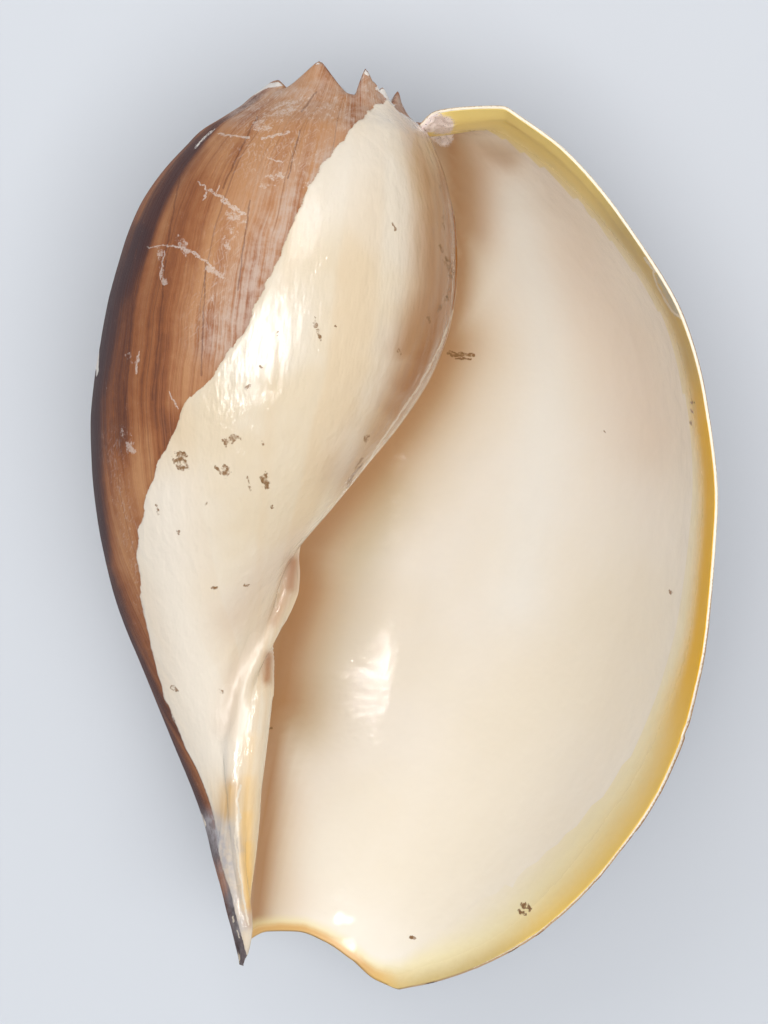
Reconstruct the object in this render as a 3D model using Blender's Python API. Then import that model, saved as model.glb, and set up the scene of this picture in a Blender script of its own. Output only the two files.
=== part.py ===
"""A crowned baler shell, grown in one piece, lying on its back with its opening up.

X runs across to the outer lip, Y along the coiling axis to the spire, Z up. The shell is one
closed surface. Its outer wall and the inner wall of the mouth are two grids that follow the
growth. They meet along the lip, the siphonal notch, the suture and the columella.
"""
import math

import bmesh
import bpy
import numpy as np

MM = 0.001

# Growth, in degrees about the coiling axis and millimetres along it
TURN_RATIO = 3.2
APEX_LEVEL = 212.0
LIP_ANGLE = 17.0
NOTCH_ANGLE = -115.0
MOUTH_TURN = 348.0
SPIRE_TURNS = 2
STEP_ANGLE = 6.0
FLARE_TURN = 110.0

# Behind the notch the floor of the mouth first rises quickly up the columella
FLOOR_RISE = 14.0
FLOOR_TURN = 9.0

# Wall thickness, how far back from the lip it thins, and the most of the room between two
# whorls that it takes. The mouth rounds in on the columella over the last share of its rows
WALL = 3.0
LIP_WALL = 2.0
LIP_THINNING = 40.0
WALL_SHARE = 0.4
ROUNDING_SHARE = 0.28

# The whorl at full size, from the suture over the shoulder and down its side: radius, level,
# and the level its growth closes in on
WHORL = np.array([
    (18.8, 220.7, 224.7),
    (24.0, 221.6, 224.9),
    (31.0, 223.6, 225.1),
    (38.0, 227.0, 225.3),
    (43.5, 225.5, 225.3),
    (50.5, 219.5, 225.0),
    (60.0, 212.0, 224.7),
    (68.5, 205.5, 224.2),
    (73.4, 200.0, 223.0),
    (83.0, 190.0, 219.0),
    (90.5, 180.0, 214.0),
    (95.5, 166.0, 212.2),
    (99.2, 147.0, 212.0),
])
SHOULDER = 3
SUTURE = 6

# The rest of its side: distance below the apex level, radius
SIDE = np.array([
    (65.0, 99.2),
    (80.0, 101.3),
    (102.0, 102.5),
    (125.0, 101.2),
    (150.0, 96.1),
    (175.0, 87.7),
    (200.0, 76.1),
    (225.0, 60.1),
    (250.0, 42.7),
    (275.0, 21.8),
    (300.0, 10.0),
    (325.0, 4.7),
    (350.0, 1.5),
])
SIDE_STEPS = 13
ROW_CROWDING = 1.25

# Coiling axis and columella: level, how far the axis lies to the side, radius of the pillar
AXIS = np.array([
    (0.0, -1.0, 0.0),
    (9.0, -2.2, 2.4),
    (17.0, -3.5, 3.3),
    (28.0, -4.7, 4.3),
    (78.0, -4.7, 4.3),
    (104.0, -2.6, 4.3),
    (130.0, 0.0, 4.3),
    (156.0, 2.1, 4.3),
])

# Front end of the columella: where it is, how the axis falls to it, and how the whorl closes on it
TIP = np.array([0.0, 0.0, -2.0])
TIP_FALL = 12.0
TIP_ROUNDING = 8.0
CLOSING_START = -60.0
CLOSING_TURN = 60.0

# The back of the pillar, inside the mouth, is slimmer
BEHIND_START = -400.0
BEHIND_TURN = 60.0
BEHIND_SHARE = 0.3

# Folds wound on the columella: distance below the apex level at full size, share, spread
FOLDS = [(343.0, 0.30, 30.0), (392.0, -0.42, 20.0), (700.0, -0.25, 30.0)]

# Outer lip: level, distance to the side, height. Its edge is found by turning in on it
LIP = np.array([
    (227.2, 41.8, 17.5),
    (217.2, 57.9, 21.9),
    (197.1, 77.6, 27.0),
    (177.6, 91.7, 30.3),
    (158.3, 99.2, 32.1),
    (129.6, 105.1, 33.0),
    (101.0, 106.0, 33.0),
    (81.9, 104.6, 31.0),
    (62.1, 100.3, 26.9),
    (41.7, 91.4, 18.9),
    (20.3, 77.6, 5.1),
    (8.8, 65.9, -4.9),
    (-1.4, 50.7, -17.0),
    (-5.2, 41.7, -22.0),
])
LIP_TOP = [(24.5, 225.0, 9.0), (33.0, 226.5, 13.5)]
LIP_ROUNDS = 12

# Siphonal notch: angle, level of its edge
NOTCH = np.array([
    (-115.0, 0.0),
    (-104.0, 1.6),
    (-94.0, 3.0),
    (-84.0, 4.5),
    (-74.0, 6.0),
    (-64.0, 5.9),
    (-54.0, 3.8),
    (-44.0, 0.0),
    (-34.0, -4.0),
    (-27.0, -5.2),
])

# Shoulder spines: angle, height, reach in degrees to the far and the near side, hollowness of
# the flanks. Each rises from the rows beside the shoulder with a share of its height
SPINES = [
    (-463.0, 1.2, 8.0, 8.0, 1.2),
    (-439.0, 1.5, 8.0, 8.0, 1.2),
    (-415.0, 1.9, 8.0, 8.0, 1.2),
    (-391.0, 2.2, 8.0, 8.0, 1.2),
    (-367.0, 2.8, 8.0, 8.0, 1.2),
    (-343.0, 4.0, 12.0, 16.0, 0.8),
    (-307.0, 3.3, 10.0, 12.0, 0.8),
    (-283.0, 6.8, 16.0, 8.0, 0.8),
    (-241.0, 7.0, 25.0, 25.0, 1.15),
    (-199.0, 2.7, 12.0, 34.0, 0.7),
    (-151.0, 3.5, 14.0, 14.0, 1.2),
    (-115.0, 3.0, 14.0, 14.0, 1.2),
    (-79.0, 2.0, 14.0, 14.0, 1.2),
]
SPINE_SHARES = {-1: 0.10, 0: 1.0, 1: 0.30}

# First whorls, a smooth dome inside the crown
DOME_LEVEL = 226.0
DOME_FALL = 0.05
DOME_START = -395.0
DOME_BLEND = 90.0

# It lies a little spire end down and lip side down, on a patch worn flat
REST_PITCH = 4.0
REST_ROLL = 3.0
REST_DEPTH = 0.9


def curve(at, known, values):
    """A curve through the known values that never swings past them."""
    gap = np.diff(known)
    slope = np.diff(values) / gap
    left, right = 2 * gap[1:] + gap[:-1], gap[1:] + 2 * gap[:-1]
    same = slope[1:] * slope[:-1] > 0
    safe = np.where(same[:, None], np.stack([slope[:-1], slope[1:]], 1), 1.0)
    mean = (left + right) / (left / safe[:, 0] + right / safe[:, 1])
    lean = np.concatenate([slope[:1], np.where(same, mean, 0.0), slope[-1:]])
    at = np.clip(at, known[0], known[-1])
    k = np.clip(np.searchsorted(known, at, side="right") - 1, 0, len(gap) - 1)
    t = (at - known[k]) / gap[k]
    start = (1 + 2 * t) * (1 - t) ** 2 * values[k] + t * (1 - t) ** 2 * gap[k] * lean[k]
    end = t * t * (3 - 2 * t) * values[k + 1] + t * t * (t - 1) * gap[k] * lean[k + 1]
    return start + end


def eased(share):
    """A share kept between 0 and 1, with a soft start and end."""
    share = np.clip(share, 0, 1)
    return share ** 2 * (3 - 2 * share)


def growth(angle):
    return TURN_RATIO ** (angle / 360.0)


def axis(level):
    """Where the coiling axis is at a level, to the side and in height."""
    fall = np.clip(1 - level / TIP_FALL, 0, 1) ** 2
    return curve(level, AXIS[:, 0], AXIS[:, 1]), TIP[2] * fall


def place(angle, radius, level):
    side, height = axis(level)
    turn = np.radians(angle)
    return np.stack([side + radius * np.cos(turn), level, height + radius * np.sin(turn)], -1)


def side_radius(angle, level):
    """Radius of the whorl's side, with the columella where the whorl has run out."""
    below = (APEX_LEVEL - level) / growth(angle)
    whorl = np.exp(curve(below, SIDE[:, 0], np.log(SIDE[:, 1]))) * growth(angle)
    whorl = np.where(below > SIDE[-1, 0], 0.0, whorl)
    folds = 1.0
    for where, share, spread in FOLDS:
        folds = folds + share * np.exp(-((below - where) / spread) ** 2)
    behind = np.clip((BEHIND_START - angle) / BEHIND_TURN, 0, 1)
    pillar = curve(level, AXIS[:, 0], AXIS[:, 2]) * folds * (1 - BEHIND_SHARE * behind)
    radius = (whorl ** 4 + pillar ** 4) ** 0.25
    closing = eased((CLOSING_START - angle) / CLOSING_TURN)
    return radius * (1 - closing * np.exp(-np.maximum(level, 0) / TIP_ROUNDING))


def side_shares():
    """How far down the side each of its rows is, closer together near the tip."""
    return 1 - (1 - np.arange(1, SIDE_STEPS + 1) / SIDE_STEPS) ** ROW_CROWDING


def whorl_rows(angle, end_level):
    """Radius and level down one column, from the suture to the front end."""
    top = len(WHORL)
    grown = growth(angle)
    radius, level = np.empty_like(angle), np.empty_like(angle)
    radius[:, :top] = WHORL[:, 0] * grown[:, :top]
    level[:, :top] = WHORL[:, 2] + (WHORL[:, 1] - WHORL[:, 2]) * grown[:, :top]
    share = side_shares()
    start = WHORL[-1, 2] + (WHORL[-1, 1] - WHORL[-1, 2]) * grown[:, top:]
    level[:, top:] = start + (end_level[:, None] - start) * share
    radius[:, top:] = side_radius(angle[:, top:], level[:, top:])
    return radius, level


def lip_rows():
    """Angle, radius and level of the outer lip, row by row."""
    rows = len(WHORL) + SIDE_STEPS
    angle = np.full((1, rows), LIP_ANGLE)
    low_to_high = LIP[::-1]
    for _ in range(LIP_ROUNDS):
        radius, level = whorl_rows(angle, LIP[-1:, 0])
        side, height = axis(level[0])
        across = curve(level[0], low_to_high[:, 0], low_to_high[:, 1])
        up = curve(level[0], low_to_high[:, 0], low_to_high[:, 2])
        goal_level = level[0].copy()
        for row, (x, y, z) in enumerate(LIP_TOP, start=1):
            across[row], goal_level[row], up[row] = x, y, z
        goal_angle = np.degrees(np.arctan2(up - height, across - side))
        goal_angle[0] = LIP_ANGLE
        angle[0] = goal_angle
    flare = np.hypot(across - side, up - height) / radius[0]
    rise = goal_level - level[0]
    flare[0], rise[0] = 1.0, 0.0
    return goal_angle - LIP_ANGLE, flare, rise


def outer_wall(columns, turn, notch, deepest):
    """Points of the outer grid: columns from the first whorl to the lip, rows from the suture."""
    base = LIP_ANGLE + (np.arange(columns) - columns + 1) * STEP_ANGLE
    shift, flare, rise = lip_rows()
    ease = np.clip((base - LIP_ANGLE) / FLARE_TURN + 1, 0, 1)[:, None] ** 2
    angle = base[:, None] + ease * shift
    end = np.where(base > base[notch], curve(angle[:, -1], NOTCH[:, 0], NOTCH[:, 1]), 0.0)
    for k in range(deepest - turn, notch - turn):
        back = base[k + turn] - base[notch]
        end[k] = APEX_LEVEL * (1 - growth(back)) + FLOOR_RISE * (1 - math.exp(back / FLOOR_TURN))
    radius, level = whorl_rows(angle, end)
    radius = radius * (1 + ease * (flare - 1))
    level = level + ease * rise

    crown = slice(0, SUTURE + 1)
    dome = DOME_LEVEL - DOME_FALL * radius[:, crown] ** 2
    blend = eased((DOME_START - angle[:, crown]) / DOME_BLEND)
    level[:, crown] += (dome - level[:, crown]) * blend
    smooth = place(angle, radius, level)
    for where, height, far, near, hollow in SPINES:
        for row, share in SPINE_SHARES.items():
            off = angle[:, SHOULDER + row] - where
            left = np.clip(1 - abs(off) / np.where(off < 0, far, near), 0, 1)
            level[:, SHOULDER + row] += height * share * left ** hollow

    points = place(angle, radius, level)
    for grid in (points, smooth):
        grid[turn:, 0] = grid[:-turn, SUTURE]
        grid[notch - turn:notch + 1, -1] = TIP
    room = radius - side_radius(angle - 360.0, level)
    room[:, :len(WHORL)] = WALL / WALL_SHARE
    return base, points, smooth, room


def inner_wall(base, outer, room, turn, notch, deepest):
    """Points of the mouth's own wall, set in from the outer grid by the wall's thickness."""
    along = np.gradient(outer, axis=0)
    down = np.gradient(outer, axis=1)
    facing = np.cross(along, down)
    facing /= np.linalg.norm(facing, axis=2, keepdims=True) + 1e-9
    thin = eased((base - LIP_ANGLE) / LIP_THINNING + 1)
    wall = (WALL + (LIP_WALL - WALL) * thin) * np.minimum(growth(base), 1)
    wall = np.minimum(wall[:, None], np.maximum(room, 0.0) * WALL_SHARE)
    inner = outer - facing * wall[..., None]
    share = np.linspace(1, 0, outer.shape[1] - SHOULDER)
    keep = np.sqrt(1 - np.clip(1 - share / ROUNDING_SHARE, 0, 1) ** 2)[:, None]
    rows = len(WHORL) - SHOULDER
    for k in range(deepest, notch + 1):
        weld = outer[k - turn, -1]
        side = inner[k, SHOULDER:]
        start = side[rows - 1, 1]
        level = side[:, 1].copy()
        level[rows:] = start + (weld[1] - start) * side_shares()
        known = np.minimum.accumulate(side[:, 1])[::-1]
        moved = np.stack([np.interp(level, known, side[::-1, c]) for c in range(3)], 1)
        moved[:, 1] = level
        flat = weld + (moved - weld) * keep
        flat[:, 1] = level
        inner[k, SHOULDER:] = flat
        inner[k, -1] = weld
    inner[deepest:, 0] = outer[deepest - turn:len(outer) - turn, SUTURE + 1]
    return inner


def shell_surface():
    """Points and faces of the whole shell as one closed surface."""
    turn = round(360.0 / STEP_ANGLE)
    last = SPIRE_TURNS * turn
    notch = last - round((LIP_ANGLE - NOTCH_ANGLE) / STEP_ANGLE)
    deepest = last - round(MOUTH_TURN / STEP_ANGLE)
    base, outer, smooth, room = outer_wall(last + 1, turn, notch, deepest)
    inner = inner_wall(base, smooth, room, turn, notch, deepest)
    end = outer.shape[1] - 1

    outer, inner = laid_down(outer), laid_down(inner)
    top = laid_down(np.array([[axis(DOME_LEVEL)[0], DOME_LEVEL, 0.0]]))
    points = np.concatenate([outer.reshape(-1, 3), inner.reshape(-1, 3), top])
    out = np.arange(outer[..., 0].size).reshape(outer.shape[:2])
    into = out + out.size
    for k in range(turn, last + 1):
        out[k, 0] = out[k - turn, SUTURE]
    out[notch - turn:notch + 1, end] = out[notch, end]
    into[deepest:, 0] = out[deepest - turn:last + 1 - turn, SUTURE + 1]
    into[deepest:notch + 1, end] = out[deepest - turn:notch + 1 - turn, end]

    faces = []
    for k in range(last):
        for j in range(end):
            covered = k < last - turn and j >= SUTURE
            if covered and (j == SUTURE or k < deepest - turn):
                continue
            faces.append((out[k, j], out[k + 1, j], out[k + 1, j + 1], out[k, j + 1]))
    for k in range(deepest, last):
        for j in range(end):
            faces.append((into[k, j], into[k, j + 1], into[k + 1, j + 1], into[k + 1, j]))
    for j in range(end):
        faces.append((out[last, j], into[last, j], into[last, j + 1], out[last, j + 1]))
    for k in range(notch, last):
        faces.append((out[k, end], out[k + 1, end], into[k + 1, end], into[k, end]))

    # The blind end of the mouth, deep in the whorl
    wall, core = into[deepest], out[deepest - turn, SUTURE + 1:]
    step = 0
    for j in range(end):
        faces.append((wall[j], core[step], wall[j + 1]))
        if step + 1 < len(core) and (j + 1) * (len(core) - 1) >= (step + 1) * end:
            faces.append((wall[j + 1], core[step], core[step + 1]))
            step += 1

    # The smooth top of the first whorl
    ring = [*out[:turn + 1, 0], *out[0, SUTURE - 1:0:-1]]
    for a, b in zip(ring, ring[1:] + ring[:1]):
        faces.append((len(points) - 1, b, a))
    return points, faces


def laid_down(points):
    """Turn points of the upright shell to how it lies."""
    pitch, roll = math.radians(REST_PITCH), math.radians(REST_ROLL)
    about_x = np.array([
        [1, 0, 0],
        [0, math.cos(pitch), math.sin(pitch)],
        [0, -math.sin(pitch), math.cos(pitch)],
    ])
    about_y = np.array([
        [math.cos(roll), 0, math.sin(roll)],
        [0, 1, 0],
        [-math.sin(roll), 0, math.cos(roll)],
    ])
    return points @ (about_y @ about_x).T


def tidy(points, faces):
    """Drop the doubled corners of faces and the points that no face uses."""
    clean = [tuple(dict.fromkeys(int(i) for i in face)) for face in faces]
    clean = [face for face in clean if len(face) > 2]
    used = sorted({i for face in clean for i in face})
    new = {old: i for i, old in enumerate(used)}
    return points[used], [tuple(new[i] for i in face) for face in clean]


def cut_rest(mesh, level):
    """Cut the lowest bit off level, and close the cut with one flat face."""
    body = bmesh.new()
    body.from_mesh(mesh)
    everything = [*body.verts, *body.edges, *body.faces]
    cut = bmesh.ops.bisect_plane(
        body, geom=everything, plane_co=(0, 0, level), plane_no=(0, 0, -1), clear_outer=True
    )
    rim = [part for part in cut["geom_cut"] if isinstance(part, bmesh.types.BMEdge)]
    bmesh.ops.contextual_create(body, geom=rim)
    bmesh.ops.translate(body, verts=body.verts, vec=(0, 0, -level))
    body.to_mesh(mesh)
    body.free()


def new_material(name, colour, roughness):
    material = bpy.data.materials.new(name)
    material.use_nodes = True
    shader = material.node_tree.nodes["Principled BSDF"]
    shader.inputs["Base Color"].default_value = (*colour, 1.0)
    shader.inputs["Roughness"].default_value = roughness
    return material


for old in list(bpy.context.scene.objects):
    bpy.data.objects.remove(old)

points, faces = tidy(*shell_surface())
low, high = points.min(axis=0), points.max(axis=0)
points = points - [(low[0] + high[0]) / 2, (low[1] + high[1]) / 2, low[2]]

mesh = bpy.data.meshes.new("shell")
mesh.from_pydata((points * MM).tolist(), [], faces)
cut_rest(mesh, REST_DEPTH * MM)
mesh.shade_smooth()
mesh.set_sharp_from_angle(angle=math.radians(40.0))
mesh.materials.append(new_material("shell_brown", (0.30, 0.17, 0.10), 0.45))
shell = bpy.data.objects.new("shell", mesh)
group = bpy.data.collections.new("baler_shell")
bpy.context.scene.collection.children.link(group)
group.objects.link(shell)
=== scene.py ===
# %% [markdown]
# # A baler shell, shaped the way it grew
# A sea snail builds its shell by adding a thin strip of lime along the lip, day after day. Each
# turn about the axis makes the opening a little over three times larger, so one outline, swept
# round and scaled as it goes, gives the whole shell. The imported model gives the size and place.
# This file repeats its growth law on a finer grid and adds what the eye looks for.

# %% Load the frame
import itertools
import math

import bpy
import numpy as np
from mathutils import Matrix, Quaternion, Vector


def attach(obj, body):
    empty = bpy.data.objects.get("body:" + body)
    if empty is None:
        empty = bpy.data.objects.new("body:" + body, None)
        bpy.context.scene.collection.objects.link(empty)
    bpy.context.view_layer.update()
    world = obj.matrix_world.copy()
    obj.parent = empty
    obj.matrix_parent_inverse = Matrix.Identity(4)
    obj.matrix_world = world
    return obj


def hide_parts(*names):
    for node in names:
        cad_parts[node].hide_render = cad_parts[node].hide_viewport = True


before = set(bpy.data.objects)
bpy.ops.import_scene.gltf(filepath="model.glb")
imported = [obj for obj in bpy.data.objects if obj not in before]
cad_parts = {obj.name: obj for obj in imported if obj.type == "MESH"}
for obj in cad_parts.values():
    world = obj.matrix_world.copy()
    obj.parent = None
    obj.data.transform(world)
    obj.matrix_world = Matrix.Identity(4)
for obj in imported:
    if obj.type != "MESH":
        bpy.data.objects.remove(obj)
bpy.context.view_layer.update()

MM = 0.001

# %% [markdown]
# ## Small helpers
# Most of the shell is worked out with numpy, because a hundred thousand points are moved at
# once. A few helpers do nearly all of it: `curve` runs a smooth line through known sizes, `rise`
# is a soft step from one place to another, `bump` is a soft hill, and `noise` gives random bumps
# of a chosen size that are the same on each run, since they come from a seeded table.

# %% Curves, soft steps and noise
def curve(at, known, values):
    """A curve through the known values that never swings past them."""
    known, values = np.asarray(known, float), np.asarray(values, float)
    gap = np.diff(known)
    slope = np.diff(values) / gap
    left, right = 2 * gap[1:] + gap[:-1], gap[1:] + 2 * gap[:-1]
    same = slope[1:] * slope[:-1] > 0
    safe = np.where(same[:, None], np.stack([slope[:-1], slope[1:]], 1), 1.0)
    mean = (left + right) / (left / safe[:, 0] + right / safe[:, 1])
    lean = np.concatenate([slope[:1], np.where(same, mean, 0.0), slope[-1:]])
    at = np.clip(at, known[0], known[-1])
    k = np.clip(np.searchsorted(known, at, side="right") - 1, 0, len(gap) - 1)
    t = (at - known[k]) / gap[k]
    start = (1 + 2 * t) * (1 - t) ** 2 * values[k] + t * (1 - t) ** 2 * gap[k] * lean[k]
    end = t * t * (3 - 2 * t) * values[k + 1] + t * t * (t - 1) * gap[k] * lean[k + 1]
    return start + end


def eased(share):
    """A share kept between 0 and 1, with a soft start and end."""
    share = np.clip(share, 0, 1)
    return share ** 2 * (3 - 2 * share)


def rise(at, none, full):
    """A soft step from 0 to 1. It can run up or down."""
    return eased((at - none) / (full - none))


def bump(at, centre, spread):
    """A soft hill, 1 at its centre."""
    return np.exp(-((at - centre) / spread) ** 2)


NOISE_TABLE = np.random.default_rng(7).uniform(-1, 1, (64, 64, 64))


def noise(points, size, shift=0):
    """Random heights from about -1 to 1, with bumps as wide as size."""
    at = np.asarray(points) / size + shift
    low = np.floor(at).astype(int)
    part = eased(at - low)
    total = 0.0
    for corner in itertools.product((0, 1), repeat=3):
        weight = np.where(corner, part, 1 - part).prod(axis=-1)
        x, y, z = np.moveaxis((low + corner) % 64, -1, 0)
        total = total + NOISE_TABLE[x, y, z] * weight
    return total


print("noise runs from", NOISE_TABLE.min().round(2), "to", NOISE_TABLE.max().round(2))

# %% [markdown]
# ## The growth law
# All sizes are millimetres in the shell's own upright frame: `u` to the right, `v` up the coiling
# axis, `w` towards the eye. An angle runs round the axis, and it keeps counting from turn to
# turn: the lip is at 17 degrees, and one turn earlier everything is 1 / 3.2 of the size.

# %% Growth and the outline of a whorl
TURN_RATIO = 3.2
APEX_LEVEL = 212.0
LIP_ANGLE = 17.0
NOTCH_ANGLE = -115.0
MOUTH_TURN = 348.0
SPIRE_TURNS = 2

# From the suture over the shoulder and down the side: radius, level, and the level that its
# growth closes in on
WHORL = np.array([
    (18.8, 220.7, 224.7), (24, 221.6, 224.9), (31, 223.6, 225.1), (38, 227, 225.3),
    (43.5, 225.5, 225.3), (50.5, 219.5, 225), (60, 212, 224.7), (68.5, 205.5, 224.2),
    (73.4, 200, 223), (83, 190, 219), (90.5, 180, 214), (95.5, 166, 212.2), (99.2, 147, 212),
])
SHOULDER, SUTURE, SUTURE_WALL = 3, 6, 7

# The rest of the side: distance below the apex level, radius
SIDE = np.array([
    (65, 99.2), (80, 101.3), (102, 102.5), (125, 101.2), (150, 96.1), (175, 87.7), (200, 76.1),
    (225, 60.1), (250, 42.7), (275, 21.8), (300, 10), (325, 4.7), (350, 1.5),
])
SIDE_STEPS = 13
ROW_CROWDING = 1.25


def growth(angle):
    return TURN_RATIO ** (angle / 360.0)


print("one turn before the lip the shell was", round(float(growth(-360)), 3), "of its size")

# %% [markdown]
# ## The coiling axis and its pillar
# The middle of the coil is a twisted pillar, the columella. It isn't quite straight, and strong
# folds wind round it that show on the left of the opening like overlapping petals. A fold keeps
# its place in the growing whorl, so it is placed by its distance below the apex level at full
# size, and the growth law bends it into a spiral by itself.

# %% Axis, pillar and folds
# Level, how far the axis lies to the side, radius of the pillar
AXIS = np.array([
    (0, -1, 0), (9, -2.2, 2.4), (17, -3.5, 3.3), (28, -4.7, 4.3), (78, -4.7, 4.3),
    (104, -2.6, 4.3), (130, 0, 4.3), (156, 2.1, 4.3),
])
TIP = np.array([0.0, 0.0, -2.0])
TIP_FALL = 12.0
TIP_ROUNDING = 8.0
CLOSING_START, CLOSING_TURN = -60.0, 60.0
BEHIND_START, BEHIND_TURN, BEHIND_SHARE = -400.0, 60.0, 0.3

# Folds and the grooves between them: distance below the apex level, share, spread
FOLDS = [(343.0, 0.30, 30.0), (392.0, -0.42, 20.0), (700.0, -0.25, 30.0)]
MEETING = 4.0


def axis(level):
    """Where the coiling axis is at a level, to the side and in height."""
    fall = np.clip(1 - level / TIP_FALL, 0, 1) ** 2
    return curve(level, AXIS[:, 0], AXIS[:, 1]), TIP[2] * fall


def place(angle, radius, level):
    side, height = axis(level)
    turn = np.radians(angle)
    return np.stack([side + radius * np.cos(turn), level, height + radius * np.sin(turn)], -1)


def pillar_radius(angle, level):
    """Radius of the whorl's side, with the pillar where the whorl has run out."""
    below = (APEX_LEVEL - level) / growth(angle)
    whorl = np.exp(curve(below, SIDE[:, 0], np.log(SIDE[:, 1]))) * growth(angle)
    whorl = np.where(below > SIDE[-1, 0], 0.0, whorl)
    folds = 1.0 + sum(share * bump(below, where, spread) for where, share, spread in FOLDS)
    behind = np.clip((BEHIND_START - angle) / BEHIND_TURN, 0, 1)
    pillar = curve(level, AXIS[:, 0], AXIS[:, 2]) * folds * (1 - BEHIND_SHARE * behind)
    radius = (whorl ** MEETING + pillar ** MEETING) ** (1 / MEETING)
    closing = rise(angle, CLOSING_START, CLOSING_START - CLOSING_TURN)
    return radius * (1 - closing * np.exp(-np.maximum(level, 0) / TIP_ROUNDING)), whorl


print("pillar radius at half height, mm:", curve(np.array([100.0]), AXIS[:, 0], AXIS[:, 2])[0])

# %% [markdown]
# On the face that the eye sees, the folds are two cords. The upper one comes out from behind the
# wall of the whorl before, leans down and to the left across the pillar, thins to a sharp ridge
# and runs to the tip. The lower one lies deeper and makes the rest of the pillar's right edge.
# Each is a round cord whose middle and thickness are known at a few levels, so how far it sticks
# out at an angle is where a ray from the axis leaves a circle.

# %% The two cords on the columella
# Level, how far the middle lies to the side, its height, thickness
UPPER_CORD = np.array([
    (0, 0, 0, 0.1), (5, 0.2, 0.3, 0.6), (9.7, 0, 1, 0.9), (17.4, -1.4, 1.8, 1.2),
    (25, -3.4, 3, 1.3), (30.3, -4.4, 3.4, 1.5), (35, -5.1, 3.3, 1.8), (43, -6.4, 2.9, 2.2),
    (50, -7.3, 2, 2.9), (60, -7.9, 1.4, 3.5), (66, -8.1, 1.6, 3.5), (70, -8.1, 2.3, 3.1),
    (74.3, -7.7, 3.1, 2.4), (78.4, -6.4, 3.1, 2.4), (82.5, -4.9, 2.6, 2.5),
    (86.5, -3.5, 1.8, 2.6), (90.7, -2.1, 1, 2.7), (94.8, -0.8, 0.4, 2.8), (98.8, 0, 0, 2.85),
    (102.7, -0.1, -0.5, 2.76), (107.5, -0.5, -1.2, 2.4), (112, 0, -2, 2), (118, 0.5, -4, 0.3),
])
LOWER_CORD = np.array([
    (0, 0, -0.5, 0.2), (5, -0.5, -0.2, 1.35), (9.8, -1.2, 0, 2.2), (17.5, -3.2, -0.6, 3),
    (22.7, -4.1, -1, 3.9), (30.5, -4.7, -1, 4.6), (38.4, -4.7, -0.8, 4.5), (46, -4.7, -0.2, 4.15),
    (59, -4.8, 0.6, 4.4), (67, -4.9, 0.7, 4.5), (72.3, -4.7, -0.4, 4.1), (78.7, -4.6, -2.6, 3.2),
    (84, -5.4, -3.5, 2.8), (95, -5.5, -5, 0.3),
])
CORD_FALL = 7.0
CORD_MEETING = 8.0
# Angle, level, share and spreads of the hollow where the upper cord comes out
CORD_HOLLOW = (-300.0, 100.0, 0.45, 20.0, 9.0)
CORDS_SHOWN = [(-425.0, 0.0), (-380.0, 1.0), (-200.0, 1.0), (-175.0, 0.0)]


def cord_radius(angle, level, cord):
    """How far from the axis a cord reaches at each angle."""
    side, height = axis(level)
    across, up, thick = (curve(level, cord[:, 0], cord[:, c]) for c in (1, 2, 3))
    across, up = across - side, up - height
    away = np.hypot(across, up)
    off = abs((angle - np.degrees(np.arctan2(up, across)) + 180) % 360 - 180)
    limit = np.degrees(np.arcsin(np.minimum(thick / (away + 1e-9), 1.0)))
    limit = np.where(away < thick, 180.0, limit * 0.999)
    turn = np.radians(np.minimum(off, limit))
    reach = away * np.cos(turn) + np.sqrt(np.maximum(thick ** 2 - (away * np.sin(turn)) ** 2, 0))
    return reach * np.exp(-(np.maximum(off - limit, 0) / CORD_FALL) ** 2)


def side_radius(angle, level):
    """Radius of the side of the shell, with the cords on the face of the columella."""
    plain, whorl = pillar_radius(angle, level)
    reach = sum(
        cord_radius(angle, level, cord) ** CORD_MEETING for cord in (UPPER_CORD, LOWER_CORD)
    )
    turn, up, share, turns, levels = CORD_HOLLOW
    whorl = whorl * (1 - share * bump(angle, turn, turns) * bump(level, up, levels))
    corded = (whorl ** CORD_MEETING + reach) ** (1 / CORD_MEETING)
    shown = eased(np.interp(angle, *zip(*CORDS_SHOWN))) * (level < UPPER_CORD[-1, 0])
    return plain + (corded - plain) * shown


print("the upper cord is", 2 * UPPER_CORD[:, 3].max(), "mm thick")

# %% [markdown]
# ## The grid
# The surface is a grid: columns follow the growth, rows run from the suture over the shoulder
# and down to the front end. It is worked out very finely here. The mesh will later use only as
# many of these points as each spot needs. Columns are closest together near the lip, and since
# every turn is welded to the one before it, each turn repeats the same spacing.

# %% Columns and rows
STEP, LIP_STEP, LIP_BAND = 0.75, 0.25, 12.0
ROW_STEPS = 16

one_turn = np.concatenate([np.arange(-360, -LIP_BAND, STEP), np.arange(-LIP_BAND, 0, LIP_STEP)])
TURN = len(one_turn)
LAST = SPIRE_TURNS * TURN
base = LIP_ANGLE + np.concatenate([one_turn - 360, one_turn, [0.0]])
TOP_ROWS = len(WHORL) - 1
row = np.arange((TOP_ROWS + SIDE_STEPS) * ROW_STEPS + 1) / ROW_STEPS
END = len(row) - 1
NOTCH_COLUMN = int(np.argmin(abs(base - NOTCH_ANGLE)))
DEEPEST = int(np.argmin(abs(base - (LIP_ANGLE - MOUTH_TURN))))
side_share = 1 - (1 - np.clip((row - TOP_ROWS) / SIDE_STEPS, 0, 1)) ** ROW_CROWDING
top_rows = row <= TOP_ROWS


def row_of(whorl_row):
    return whorl_row * ROW_STEPS


def whorl_rows(angle, end_level):
    """Radius and level down each column, from the suture to the front end."""
    known = np.arange(len(WHORL))
    radius, level, closing = (curve(row, known, WHORL[:, c]) for c in range(3))
    grown = growth(angle)
    level = closing + (level - closing) * grown
    start = level[:, row_of(TOP_ROWS), None]
    level = np.where(top_rows, level, start + (end_level[:, None] - start) * side_share)
    return np.where(top_rows, radius * grown, side_radius(angle, level)), level


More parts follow.
